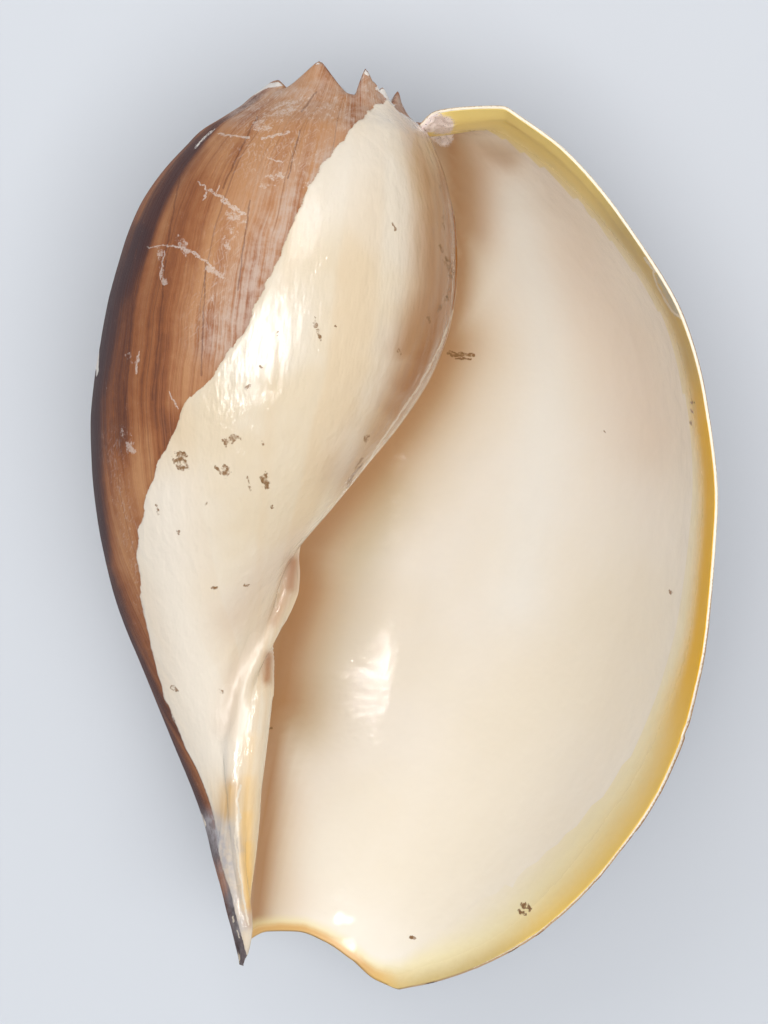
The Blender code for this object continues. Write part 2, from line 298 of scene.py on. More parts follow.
print(len(base), "columns,", len(row), "rows")

# %% [markdown]
# ## The outer lip
# The lip flares away from the spiral. Its edge is measured as level, distance to the side and
# height. `lip_rows` turns in on the edge by a few rounds, because moving a point to the edge
# changes its angle, and that changes the radius that the spiral gives it.

# %% The lip's edge and the notch
LIP = np.array([
    (227.2, 41.8, 17.5), (217.2, 57.9, 21.9), (197.1, 77.6, 27), (177.6, 91.7, 30.3),
    (158.3, 99.2, 32.1), (129.6, 105.1, 33), (101, 106, 33), (81.9, 104.6, 31),
    (62.1, 100.3, 26.9), (41.7, 91.4, 18.9), (20.3, 77.6, 5.1), (8.8, 65.9, -4.9),
    (-1.4, 50.7, -17), (-5.2, 41.7, -22),
])
LIP_TOP = [(24.5, 225.0, 9.0), (33.0, 226.5, 13.5)]
LIP_ROUNDS = 12
CORNER_ROUNDING = 7
FLARE_TURN = 110.0
FLOOR_RISE, FLOOR_TURN = 14.0, 9.0

# Siphonal notch: angle, level of its edge
NOTCH = np.array([
    (-115, 0), (-104, 1.6), (-94, 3), (-84, 4.5), (-74, 6), (-64, 5.9), (-54, 3.8), (-44, 0),
    (-34, -4), (-27, -5.2),
])


def rounded_corner(line):
    """The lip's edge with the corner at its top rounded off."""
    reach = 3 * CORNER_ROUNDING
    weight = bump(np.arange(-reach, reach + 1), 0, CORNER_ROUNDING)
    soft = np.convolve(np.pad(line, reach, mode="edge"), weight / weight.sum(), mode="valid")
    return line + (soft - line) * bump(row, SHOULDER, 1.0)


def lip_rows():
    """How far each row of the lip turns, flares and rises away from the spiral."""
    angle = np.full((1, len(row)), LIP_ANGLE)
    low_to_high = LIP[::-1]
    first = place(LIP_ANGLE, WHORL[0, 0], WHORL[0, 1])
    across_top, level_top, up_top = zip(first, *LIP_TOP, LIP[0, [1, 0, 2]])
    near_top = row < SHOULDER
    for _ in range(LIP_ROUNDS):
        radius, level = whorl_rows(angle, LIP[-1:, 0])
        side, height = axis(level[0])
        across = curve(level[0], low_to_high[:, 0], low_to_high[:, 1])
        up = curve(level[0], low_to_high[:, 0], low_to_high[:, 2])
        known = np.arange(SHOULDER + 1)
        across = np.where(near_top, curve(row, known, across_top), across)
        up = np.where(near_top, curve(row, known, up_top), up)
        goal_level = np.where(near_top, curve(row, known, level_top), level[0])
        across, up, goal_level = (rounded_corner(line) for line in (across, up, goal_level))
        angle[0] = np.degrees(np.arctan2(up - height, across - side))
    flare = np.hypot(across - side, up - height) / radius[0]
    return angle[0] - LIP_ANGLE, flare, goal_level - level[0]


lip_shift, lip_flare, lip_rise = lip_rows()
print("the lip turns by", lip_shift.min().round(1), "to", lip_shift.max().round(1), "degrees")

# %% [markdown]
# ## The outer wall
# Each column now gets its radius and level, eased from the plain spiral to the measured lip over
# the last part of the turn. The first whorls are blended into a smooth dome, because the animal's
# first shell is smooth. Where a column starts, it is welded to the shoulder of the turn before.

# %% Outer wall without its spines
DOME_LEVEL, DOME_FALL = 226.0, 0.05
DOME_START, DOME_BLEND = -395.0, 90.0

ease = np.clip((base - LIP_ANGLE) / FLARE_TURN + 1, 0, 1)[:, None] ** 2
angle = base[:, None] + ease * lip_shift
end_level = np.where(base > base[NOTCH_COLUMN], curve(angle[:, -1], *NOTCH.T), 0.0)
back = base[DEEPEST:NOTCH_COLUMN] - base[NOTCH_COLUMN]
floor_level = APEX_LEVEL * (1 - growth(back)) + FLOOR_RISE * (1 - np.exp(back / FLOOR_TURN))
end_level[DEEPEST - TURN:NOTCH_COLUMN - TURN] = floor_level
radius, level = whorl_rows(angle, end_level)
radius = radius * (1 + ease * (lip_flare - 1))
level = level + ease * lip_rise

crown = row <= SUTURE
dome = DOME_LEVEL - DOME_FALL * radius ** 2
level = level + np.where(crown, dome - level, 0) * eased((DOME_START - angle) / DOME_BLEND)


def welded(points):
    """Tie each turn's first row to the turn before it, and the front end to the tip."""
    points[TURN:, 0] = points[:-TURN, row_of(SUTURE)]
    points[NOTCH_COLUMN - TURN:NOTCH_COLUMN + 1, END] = TIP
    return points


def outward(points):
    """Unit directions that point out of a grid of points."""
    facing = np.cross(np.gradient(points, axis=0), np.gradient(points, axis=1))
    return facing / (np.linalg.norm(facing, axis=2, keepdims=True) + 1e-9)


smooth = welded(place(angle, radius, level))
print("widest radius of the wall, mm:", radius.max().round(1))

# %% [markdown]
# ## The crown of spines
# The shoulder carries a crown of short spines, one every forty degrees or so. Each marks a pause
# in growth. They are raised from the rows beside the shoulder, so that they come up like folds of
# the wall and not like cones stuck on it. Their tips are blunt with wear, and most lean: one
# flank is short and steep, the other long.

# %% Spines
# Angle, height, reach in degrees to its far and near side, hollowness of the flanks
SPINES = [
    (-463, 1.2, 8, 8, 1.2), (-439, 1.5, 8, 8, 1.2), (-415, 1.9, 8, 8, 1.2),
    (-391, 2.2, 8, 8, 1.2), (-367, 2.8, 8, 8, 1.2), (-347, 4.2, 12, 16, 0.7),
    (-306, 3.3, 10, 12, 0.8), (-283, 7, 16, 6, 0.8), (-241.5, 7.4, 25, 25, 1.25),
    (-200, 2.7, 10, 36, 0.65), (-151, 3.5, 14, 14, 1.2), (-115, 3, 14, 14, 1.2),
    (-79, 2, 14, 14, 1.2),
]
SPINE_WEAR = 0.12
SPINE_ROWS = [SHOULDER - 2, SHOULDER - 1, SHOULDER, SHOULDER + 1, SHOULDER + 2]
SPINE_SHARES = [0.0, 0.1, 1.0, 0.3, 0.0]

across_shoulder = curve(row, SPINE_ROWS, SPINE_SHARES)
for where, height, far, near, hollow in SPINES:
    off = abs(angle - where) / np.where(angle < where, far, near)
    blunt = np.hypot(off, SPINE_WEAR) - SPINE_WEAR
    level = level + height * np.clip(1 - blunt, 0, 1) ** hollow * across_shoulder
outer = welded(place(angle, radius, level))
print(len(SPINES), "spines, the tallest", max(spine[1] for spine in SPINES), "mm")

# %% [markdown]
# ## Marks that follow a line
# Several things on the face follow lines that no growth law gives: the hollow beside the upper
# cord, the edge of the glaze, the scars on the lip. They were measured in a picture of the shell,
# in pixels. `from_picture` turns pixels into millimetres across and up, `as_seen` flattens the
# grid the way a picture does, and `from_line` gives every point its distance from a line, its
# side of it and how far along it lies.

# %% Places measured in a picture
TIP_PIXEL = (243.0, 967.0)
PIXELS_PER_MM = 3.854
PICTURE_LEAN = math.radians(6.5)
EYE_ACROSS, EYE_UP, EYE_AWAY = 23.0, 121.4, 700.0


def from_picture(pixels):
    """Millimetres across and up for places given in pixels."""
    right, up = (np.asarray(pixels, float) - TIP_PIXEL).T
    lean, up = PICTURE_LEAN, -up
    across = right * math.cos(lean) - up * math.sin(lean)
    return np.stack([across, right * math.sin(lean) + up * math.cos(lean)], -1) / PIXELS_PER_MM


def as_seen(points):
    """Across and up as they look from the eye, which makes near things a little larger."""
    nearer = EYE_AWAY / (EYE_AWAY - points[..., 2:])
    eye = np.array([EYE_ACROSS, EYE_UP])
    return eye + (points[..., :2] - eye) * nearer


def to_picture(flat):
    """Pixels for places given in millimetres across and up."""
    across, up = flat[..., 0] * PIXELS_PER_MM, flat[..., 1] * PIXELS_PER_MM
    cos, sin = math.cos(PICTURE_LEAN), math.sin(PICTURE_LEAN)
    return np.stack([TIP_PIXEL[0] + across * cos + up * sin,
                     TIP_PIXEL[1] + across * sin - up * cos], -1)


def from_line(flat, pixels):
    """Signed distance to a line, positive on its right, and the share along it."""
    line = from_picture(pixels)
    lengths = np.linalg.norm(np.diff(line, axis=0), axis=1)
    starts = np.concatenate([[0.0], np.cumsum(lengths)])
    best = np.full(flat.shape[:-1], 1e9)
    signed, along = best.copy(), np.zeros_like(best)
    for start, end, length, before in zip(line, line[1:], lengths, starts):
        run = (end - start) / length
        reach = flat - start
        t = np.clip(reach @ run, 0, length)
        gap = np.linalg.norm(reach - t[..., None] * run, axis=-1)
        side = reach[..., 0] * run[1] - reach[..., 1] * run[0]
        nearer = gap < best
        best = np.where(nearer, gap, best)
        signed = np.where(nearer, np.copysign(gap, side), signed)
        along = np.where(nearer, (before + t) / starts[-1], along)
    return signed, along


print("the lip's top right is at", from_picture([(505.0, 106.0)])[0].round(1), "mm")

# %% [markdown]
# ## Relief of the face
# A glaze, thinner than a fingernail, covers the face where the animal's mantle lay. Its edge is a
# small uneven step. Where it ends at the mouth it makes a fine bead. Below it a sharp ridge runs
# to the tip, and to the left of that old growth lines stand up as little crescents. Where the
# lip joins the shoulder the glaze has piled up in a lumpy crust.

# %% Lines of the face, in the picture
GLAZE_EDGE = [
    (426, 124), (415, 119), (400, 111), (386, 104), (375, 107), (366, 112), (357, 122), (347, 136),
    (338, 146), (331, 156), (321, 163), (317, 172), (309, 186), (305, 199), (298, 214), (290, 234),
    (281, 252), (272, 269), (262, 289), (254, 303), (249, 322), (240, 336), (229, 350), (216, 368),
    (206, 384), (192, 398), (183, 411), (176, 428), (168, 446), (158, 462), (155, 478), (149, 490),
    (143, 508), (138, 530), (137, 552), (139, 575), (141, 600), (146, 625), (152, 650), (160, 675),
    (165, 700), (175, 725), (187, 752), (196, 780), (205, 812), (214, 835), (221, 860), (229, 890),
]
RIDGE_LINE = [
    (238, 776), (236, 800), (238, 830), (240, 860), (244, 890), (249, 915), (250, 932), (246, 950),
]
HOLLOW_LINE = [(266, 608), (257, 628), (245, 655), (233, 684), (229, 712), (228, 740)]
# Place in the picture and size in millimetres of each lump of crust
CRUST_PLACES = [
    (424, 123, 2.4), (431, 120, 2.2), (438, 128, 2.8), (446, 124, 2.0), (445, 138, 2.0),
]
print("the glaze's edge has", len(GLAZE_EDGE), "measured places")

# %% Where the glaze is
# The whorl before is glazed all over, and behind this angle there is no glaze
PARIETAL_GLAZE, GLAZE_BEHIND = 50.0, -158.0
# Below this level the glaze's edge is blurred, because the grid is coarse at the tip
TIP_LEVEL, TIP_FADE, TIP_BLUR, TIP_REACH = 60.0, 15.0, 30, 2.0

facing = outward(smooth)
towards_eye = facing[..., 2]
flat = as_seen(smooth)
parietal = np.zeros_like(level, bool)
parietal[:LAST - TURN, row_of(SUTURE_WALL):] = True
ragged = 0.5 * noise(smooth, 6.0) + 0.45 * noise(smooth, 2.2, 9) + 0.25 * noise(smooth, 0.9, 5)
glaze = ragged - from_line(flat, GLAZE_EDGE)[0]
behind = (GLAZE_BEHIND - angle) * np.radians(radius)
glaze = np.where(parietal, PARIETAL_GLAZE, np.minimum(glaze, behind))
blurred = np.clip(glaze, -TIP_REACH, TIP_REACH)
for _ in range(TIP_BLUR):
    padded = np.pad(blurred, 1, mode="edge")
    blurred = (padded[:-2, 1:-1] + padded[2:, 1:-1] + padded[1:-1, :-2] + padded[1:-1, 2:]) / 4
near_tip = rise(level, TIP_LEVEL, TIP_LEVEL - TIP_FADE)
glaze = glaze * (1 - near_tip) + blurred * near_tip
print("the glaze covers", (glaze[LAST - TURN:] > 0).mean().round(2), "of the last turn's grid")

# %% Where the crust is
# It ends at this angle outside, and inside at this angle and level
CRUST_BEHIND, CRUST_INSIDE, CRUST_LEVEL = -180.0, -60.0, 150.0


def crust_on(seen, towards_eye):
    """Share of crust on a wall, from where it is seen and how far it faces the eye."""
    total = sum(bump(np.linalg.norm(seen - from_picture([spot])[0], axis=-1), 0, size)
                for *spot, size in CRUST_PLACES)
    return np.clip(total, 0, 1) * rise(towards_eye, -0.15, 0.15)


def lumps(points):
    return 0.6 * noise(points, 1.7) + 0.5 * noise(points, 0.8, 3) + 0.5


crust = crust_on(flat, towards_eye) * (angle < CRUST_BEHIND)
print("places on the grid with crust:", (crust > 0.1).sum())

# %% All of the relief together
# Heights and widths in millimetres, where the bead is, and the angle where the face ends
GLAZE_STEP, BEAD, RIDGE, HOLLOW, CRUST = 0.38, 0.35, 0.5, 1.1, 0.9
STEP_WIDTH, RIDGE_WIDTH, HOLLOW_WIDTH = 1.1, 0.7, 2.2
BEAD_ROWS, BEAD_FACING, BEAD_WIDTH, BEAD_END = (70.0, 205.0), 0.16, 0.12, 8.0
FACE_END, NO_GLAZE = -160.0, -40.0

face = rise(towards_eye, -0.1, 0.4) * (angle < FACE_END)
ridge, ridge_along = from_line(flat, RIDGE_LINE)
hollow, hollow_along = from_line(flat, HOLLOW_LINE)
on_bead = parietal * (level > BEAD_ROWS[0]) * rise(level, BEAD_ROWS[1], BEAD_ROWS[1] - BEAD_END)
relief = GLAZE_STEP * (eased(glaze / STEP_WIDTH + 0.5) - 0.5) * (glaze > NO_GLAZE)
relief = relief + BEAD * bump(towards_eye, BEAD_FACING, BEAD_WIDTH) * on_bead
relief = relief + RIDGE * bump(ridge, 0, RIDGE_WIDTH) * np.sin(np.pi * ridge_along) ** 0.5 * face
relief = relief - HOLLOW * bump(hollow, 0, HOLLOW_WIDTH) * np.sin(np.pi * hollow_along) * face
relief = relief + CRUST * lumps(smooth) * crust
outer = welded(outer + facing * relief[..., None])
print("relief from", relief.min().round(2), "to", relief.max().round(2), "mm")

# %% [markdown]
# ## The inner wall
# The animal lines its living chamber with a second, smooth layer. It is the outer wall moved
# inwards along its own slope by the wall's thickness, which thins towards the lip and never
# takes more than a share of the room between two turns. The spines leave no mark inside.
# At the lip the lining bends out to meet the edge, so that the edge is thin.

# %% Inner wall of the mouth
WALL, LIP_WALL, LIP_THINNING, WALL_SHARE = 3.0, 0.8, 12.0, 0.4
ROUNDING_SHARE = 0.28

# Level, extra thickness of the band inside the lip
BEVEL = np.array([(100.0, 0.0), (130.0, 0.1), (165.0, 0.3), (195.0, 0.5), (225.0, 0.6)])
BEVEL_AWAY, BEVEL_SPREAD = 6.5, 4.0

# A shallow growth wave in the lining: where it runs, its height, length and reach
WAVE_LINE = [(402, 560), (388, 640), (372, 710), (352, 790)]
WAVE, WAVE_LENGTH, WAVE_REACH = 0.42, 14.0, 10.0


def arc_from_lip(points):
    """Distance from the lip or the notch's edge, along the wall."""
    steps = np.linalg.norm(np.diff(points, axis=0), axis=2)
    steps = np.concatenate([np.cumsum(steps[::-1], axis=0)[::-1], np.zeros((1, END + 1))])
    drops = np.linalg.norm(np.diff(points, axis=1), axis=2)
    drops = np.concatenate([np.cumsum(drops[:, ::-1], axis=1)[:, ::-1], np.zeros((LAST + 1, 1))], 1)
    drops[:NOTCH_COLUMN] = drops.max()
    return np.minimum(steps, drops)


lip_distance = arc_from_lip(smooth)


def inner_wall():
    thin = np.exp(-lip_distance / LIP_THINNING)
    wall = WALL * np.minimum(growth(base), 1)[:, None]
    wall = wall + (LIP_WALL - wall) * thin
    bevel = curve(level, BEVEL[:, 0], BEVEL[:, 1]) * bump(lip_distance, BEVEL_AWAY, BEVEL_SPREAD)
    wall = wall + bevel * (1 - np.exp(-lip_distance / 2))
    across, along = from_line(as_seen(smooth), WAVE_LINE)
    wave = np.sin(np.pi * across / WAVE_LENGTH) * bump(across, 0, WAVE_REACH)
    wall = wall + WAVE * wave * np.sin(np.pi * along) * (towards_eye < -0.5)
    room = np.maximum(radius - side_radius(angle - 360.0, level), 0.0)
    wall = np.where(top_rows, wall, np.minimum(wall, room * WALL_SHARE))
    inner = smooth - outward(smooth) * wall[..., None]
    first = row_of(SHOULDER)
    share = np.linspace(1, 0, END + 1 - first)
    rounding = np.sqrt(1 - np.clip(1 - share / ROUNDING_SHARE, 0, 1) ** 2)[:, None]
    rows = row_of(TOP_ROWS) - first
    for k in range(DEEPEST, NOTCH_COLUMN + 1):
        weld = smooth[k - TURN, END]
        side = inner[k, first:]
        levels = side[:, 1].copy()
        levels[rows:] = levels[rows] + (weld[1] - levels[rows]) * side_share[row_of(TOP_ROWS):]
        known = np.minimum.accumulate(side[:, 1])[::-1]
        moved = np.stack([np.interp(levels, known, side[::-1, c]) for c in range(3)], 1)
        inner[k, first:] = weld + (moved - weld) * rounding
        inner[k, first:, 1] = levels
        inner[k, END] = weld
    inner[DEEPEST:, 0] = smooth[DEEPEST - TURN:LAST + 1 - TURN, row_of(SUTURE_WALL)]
    return inner


inner = inner_wall()
inside_crust = crust_on(as_seen(inner), -towards_eye)
inside_crust = inside_crust * (angle > CRUST_INSIDE) * (level > CRUST_LEVEL)
inner[:, 1:] -= (facing * (CRUST * lumps(inner) * inside_crust)[..., None])[:, 1:]
half_way = np.linalg.norm(smooth[LAST, END // 2] - inner[LAST, END // 2])
print("wall at the lip, mm:", half_way.round(2))

# %% [markdown]
# The outer layer stands out a little past the lining along the lower lip, in a thin ragged
# ledge, where the last growth has flaked off.

# %% Ragged ledge of the lip
# Level, how far the outer layer stands out
LEDGE = np.array([
    (10, 0.15), (40, 0.4), (55, 0.6), (64, 1.2), (72, 1.8), (74.4, 1.9), (74.9, 0.2), (78, 1.2),
    (92, 0.8), (108, 0.5), (118, 0.15), (170, 0),
])
LEDGE_ROOT, LEDGE_START = 3.0, 8.0
FLAKING, FLAKING_SIZE, FLAKING_TOP = 0.35, 3.0, 110.0

at_lip = level[-1]
flaking = FLAKING * noise(outer[-1], FLAKING_SIZE, 2) * (at_lip < FLAKING_TOP)
ledge = np.maximum(curve(at_lip, *LEDGE.T) + flaking, 0) * np.clip(at_lip / LEDGE_START, 0, 1)
growing = outer[-1] - outer[-12]
growing /= np.linalg.norm(growing, axis=1, keepdims=True)
outer = outer + np.exp(-(lip_distance / LEDGE_ROOT) ** 2)[..., None] * (growing * ledge[:, None])
print("the ledge stands out by up to", ledge.max().round(1), "mm")

# %% [markdown]
# ## How fine the mesh has to be
# A mesh can have the same shape with few faces or many. Big ones will do on the smooth back and
# in the mouth, but the rim, the folds and the crown need small ones. So each spot of the grid
# gets a wish: the widest face, in millimetres, that still shows what is there.

# %% Wished face sizes
# Widest face in millimetres, where the wall faces the eye and where it faces away
SIDE_FACE, CROWN_FACE = (2.1, 4.5), (1.2, 2.4)
EDGE_FACE, COLUMELLA_FACE, RELIEF_FACE, LINING_FACE, CRUST_FACE = 1.1, 1.05, 0.75, 3.6, 0.7

front = towards_eye > -0.3
on_crown = np.arange(END + 1) < row_of(SUTURE)
columella = (towards_eye > -0.8) & (level < UPPER_CORD[-1, 0]) & (radius < 15.0)
small = (abs(glaze) < 1.6) | (crust > 0.1) | (bump(ridge, 0, 1.0) * face > 0.1)
small |= parietal & (abs(towards_eye - BEAD_FACING) < 0.2) & (level > BEAD_ROWS[0])
wish_outside = np.where(on_crown, np.where(front, *CROWN_FACE), np.where(front, *SIDE_FACE))
wish_outside = np.where((lip_distance < 4.0) & front, EDGE_FACE, wish_outside)
wish_outside = np.where(columella, COLUMELLA_FACE, wish_outside)
wish_outside = np.where(small, RELIEF_FACE, wish_outside)
wish_inside = np.where(lip_distance < 8.0, EDGE_FACE, LINING_FACE)
wish_inside = np.where(inside_crust > 0.1, CRUST_FACE, wish_inside)
print("share of the outside with small faces:", (wish_outside < 1.2).mean().round(2))

# %% [markdown]
# ## One closed surface
# Blender meshes are lists of points and of faces. Here each sheet of the grid is cut into cells,
# and a cell is halved until it is as small as its wish. Every point has one number, and the
# numbers of welded points are the same, so the sheets join into one closed skin with no seams.
# A big cell next to small ones simply takes their corners into its own outline.

# %% Cells of the sheets
BLOCK = 32

out = np.arange(outer[..., 0].size).reshape(outer.shape[:2])
into = out + out.size
for k in range(TURN, LAST + 1):
    out[k, 0] = out[k - TURN, row_of(SUTURE)]
out[NOTCH_COLUMN - TURN:NOTCH_COLUMN + 1, END] = out[NOTCH_COLUMN, END]
into[DEEPEST:, 0] = out[DEEPEST - TURN:LAST + 1 - TURN, row_of(SUTURE_WALL)]
into[DEEPEST:NOTCH_COLUMN + 1, END] = out[DEEPEST - TURN:NOTCH_COLUMN + 1 - TURN, END]


def cells(points, wish, columns, rows):
    """Cells of one sheet, halved until none is wider or taller than its wish."""
    (first, last), (top, bottom) = columns, rows
    waiting = [
        (k, min(k + BLOCK, last), j, min(j + BLOCK, bottom))
        for k in range(first, last, BLOCK)
        for j in range(top, bottom, BLOCK)
    ]
    done = []
    while waiting:
        k0, k1, j0, j1 = waiting.pop()
        k, j = (k0 + k1) // 2, (j0 + j1) // 2
        wide = math.dist(points[k0, j], points[k1, j])
        tall = math.dist(points[k, j0], points[k, j1])
        wished = wish[k0:k1 + 1, j0:j1 + 1].min()
        if max(wide, tall) <= wished or (k1 - k0 == 1 and j1 - j0 == 1):
            done.append((k0, k1, j0, j1))
        elif j1 - j0 == 1 or (wide >= tall and k1 - k0 > 1):
            waiting += [(k0, k, j0, j1), (k, k1, j0, j1)]
        else:
            waiting += [(k0, k1, j0, j), (k0, k1, j, j1)]
    return done


before_lip = (LAST - TURN, LAST)
outside_cells = (
    cells(outer, wish_outside, (0, LAST - TURN), (0, row_of(SUTURE)))
    + cells(outer, wish_outside, (DEEPEST - TURN, LAST - TURN), (row_of(SUTURE_WALL), END))
    + cells(outer, wish_outside, before_lip, (0, END))
)
mouth_cells = cells(inner, wish_inside, (DEEPEST, LAST), (0, END))
print(len(outside_cells), "cells outside,", len(mouth_cells), "in the mouth")

# %% [markdown]
# The rim is the edge where both walls end. It runs down the lip and round the notch to the tip.
# A half-round of extra points between the two walls makes it blunt, like a real lip.

# %% The rim, and the list of faces
RIM_POINTS = 3
RIM_PARTS = np.arange(1, RIM_POINTS + 1) / (RIM_POINTS + 1)

rim = [(out[LAST, j], into[LAST, j]) for j in range(END + 1)]
rim += [(out[k, END], into[k, END]) for k in range(LAST - 1, NOTCH_COLUMN - 1, -1)]
points = np.concatenate([outer.reshape(-1, 3), inner.reshape(-1, 3)])
kept = np.zeros(len(points), bool)
for grid, found in ((out, outside_cells), (into, mouth_cells)):
    for k0, k1, j0, j1 in found:
        kept[grid[[k0, k0, k1, k1], [j0, j1, j0, j1]]] = True
rim = [(a, b) for a, b in rim if kept[a] or kept[b]]
kept[[i for pair in rim for i in pair]] = True


def outline(grid, cell):
    """The kept points round a cell."""
    k0, k1, j0, j1 = cell
    ring = np.concatenate([
        grid[k0:k1, j0], grid[k1, j0:j1], grid[k1:k0:-1, j1], grid[k0, j1:j0:-1]
    ])
    return list(dict.fromkeys(ring[kept[ring]].tolist()))


def zipped(wall, core):
    """Triangles between two rows of points that start and end together."""
    faces, step = [], 0
    for j, (a, b) in enumerate(zip(wall, wall[1:])):
        faces.append([a, core[step], b])
        while step + 1 < len(core) and (j + 1) * (len(core) - 1) >= (step + 1) * (len(wall) - 1):
            faces.append([b, core[step], core[step + 1]])
            step += 1
    return faces


def rim_chains(pairs):
    """Rows of point numbers across the rim, and the new half-round points in them."""
    a, b = (points[[pair[side] for pair in pairs]] for side in (0, 1))
    run = np.gradient((a + b) / 2, axis=0)
    outwards = np.cross(run, b - a)
    outwards /= np.linalg.norm(outwards, axis=1, keepdims=True) + 1e-9
    thick = np.minimum(np.linalg.norm(b - a, axis=1, keepdims=True), LIP_WALL)
    chains, added = [], []
    for i, (first, last) in enumerate(pairs):
        if first == last:
            chains.append([first] * (RIM_POINTS + 2))
            continue
        new = len(points) + len(added)
        chains.append([first, *range(new, new + RIM_POINTS), last])
        for part in RIM_PARTS:
            along = (1 - math.cos(math.pi * part)) / 2
            swell = math.sin(math.pi * part) / 2
            added.append(a[i] + (b[i] - a[i]) * along + outwards[i] * thick[i] * swell)
    return chains, np.array(added)


chains, rim_points = rim_chains(rim)
points = np.concatenate([points, rim_points])
outside_faces = [outline(out, cell) for cell in outside_cells]
mouth_faces = [outline(into, cell)[::-1] for cell in mouth_cells]
rim_faces = [
    [upper[i], upper[i + 1], lower[i + 1], lower[i]]
    for upper, lower in zip(chains[1:], chains[2:])
    for i in range(RIM_POINTS + 1)
]
wall_top = [i for i in out[LAST - TURN, row_of(SUTURE):row_of(SUTURE_WALL) + 1].tolist() if kept[i]]
rim_faces += zipped(chains[1], wall_top)
print(len(rim), "places along the rim")

# %% [markdown]
# Two ends are still open: the blind end deep in the mouth, and the top of the very first whorl.
# Both are closed with narrow triangles, and nobody looks at either of them closely.

# %% Closing the two ends
deep_wall = [i for i in into[DEEPEST].tolist() if kept[i]]
deep_core = [i for i in out[DEEPEST - TURN, row_of(SUTURE_WALL):].tolist() if kept[i]]
ring = [*out[:TURN + 1, 0].tolist(), *out[0, row_of(SUTURE) - 1:0:-1].tolist()]
ring = [i for i in ring if kept[i]]
apex = len(points)
points = np.concatenate([points, [[axis(DOME_LEVEL)[0], DOME_LEVEL, 0.0]]])
mouth_faces += zipped(deep_wall, deep_core)
outside_faces += [[apex, b, a] for a, b in zip(ring, ring[1:] + ring[:1])]
print(len(outside_faces) + len(mouth_faces) + len(rim_faces), "faces in all")

# %% [markdown]
# ## Lying down
# The shell lies on its back, a little spire end down and lip side down, because that is how its
# weight settles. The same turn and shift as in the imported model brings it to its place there,
# and the lowest bit, which rests on the table, is worn level.

# %% From the upright frame to the table
REST_PITCH, REST_ROLL = 4.0, 3.0
LAID_MIDDLE = np.array([24.7, 113.4, -87.2])


def laid_down():
    """The turn from the upright shell to how it lies, as a matrix."""
    pitch, roll = math.radians(REST_PITCH), math.radians(REST_ROLL)
    about_x = Matrix(((1, 0, 0), (0, math.cos(pitch), math.sin(pitch)),
                      (0, -math.sin(pitch), math.cos(pitch))))
    about_y = Matrix(((math.cos(roll), 0, math.sin(roll)), (0, 1, 0),
                      (-math.sin(roll), 0, math.cos(roll))))
    return about_y @ about_x


LAID_DOWN = laid_down()
placed = points @ np.array(LAID_DOWN).T - LAID_MIDDLE
print("the lowest bit is worn level by", -placed[:, 2].min().round(2), "mm")
placed[:, 2] = np.maximum(placed[:, 2], 0.0)

# %% The mesh
def build_mesh(name, faces_by_finish):
    faces = [list(dict.fromkeys(face)) for faces in faces_by_finish for face in faces]
    finish = [i for i, faces in enumerate(faces_by_finish) for _ in faces]
    finish = [slot for slot, face in zip(finish, faces) if len(face) > 2]
    faces = [face for face in faces if len(face) > 2]
    used = sorted({i for face in faces for i in face})
    number = {old: new for new, old in enumerate(used)}
    mesh = bpy.data.meshes.new(name)
    mesh.from_pydata((placed[used] * MM).tolist(), [], [[number[i] for i in f] for f in faces])
    mesh.polygons.foreach_set("material_index", finish)
    mesh.shade_smooth()
    mesh.update()
    return mesh, np.array(used)


shell_mesh, used = build_mesh("baler_shell", [outside_faces, mouth_faces, rim_faces])
shell_mesh.calc_loop_triangles()
print(len(shell_mesh.vertices), "points,", len(shell_mesh.loop_triangles), "triangles")
shell = bpy.data.objects.new("baler_shell", shell_mesh)
bpy.context.scene.collection.objects.link(shell)

# %% [markdown]
# ## Named values on the points
# A material knows nothing about growth or glaze unless the mesh tells it. So each point gets a
# few named numbers: its place in the upright shell, its place in the picture, how far it lies
# along the growth, its distance from the glaze's edge and from the lip, and soft zones from 0 to
# 1 where the real shell changes colour. The materials read them through Attribute nodes.

# %% Values for every point
GROWTH_MM, ROW_MM, BEAD_TINT = 554.0, 10.0, 0.10

rim_pairs = np.array([pair for pair in rim if pair[0] != pair[1]])
rim_parts = np.tile(RIM_PARTS, len(rim_pairs))


def on_points(outside, inside):
    """A value for each point of the mesh, from a value for each grid point of the two walls."""
    values = np.concatenate([np.ravel(outside), np.ravel(inside)])
    first, last = np.repeat(rim_pairs, RIM_POINTS, axis=0).T
    edge = values[first] * (1 - rim_parts) + values[last] * rim_parts
    return np.concatenate([values, edge, values[:1]])[used]


def name_values(name, values):
    """Keep one number, or three, on each point of the shell."""
    kind, key = ("FLOAT", "value") if values.ndim == 1 else ("FLOAT_VECTOR", "vector")
    layer = shell_mesh.attributes.new(name, kind, "POINT")
    layer.data.foreach_set(key, np.ascontiguousarray(values, np.float32).ravel())


def keep(name, outside, inside=None):
    """Name a value, the same on both walls unless the inside has its own."""
    name_values(name, on_points(outside, outside if inside is None else inside))


NONE, FULL = np.zeros(level.shape), np.ones(level.shape)
NO_THIRD = np.zeros(len(used))

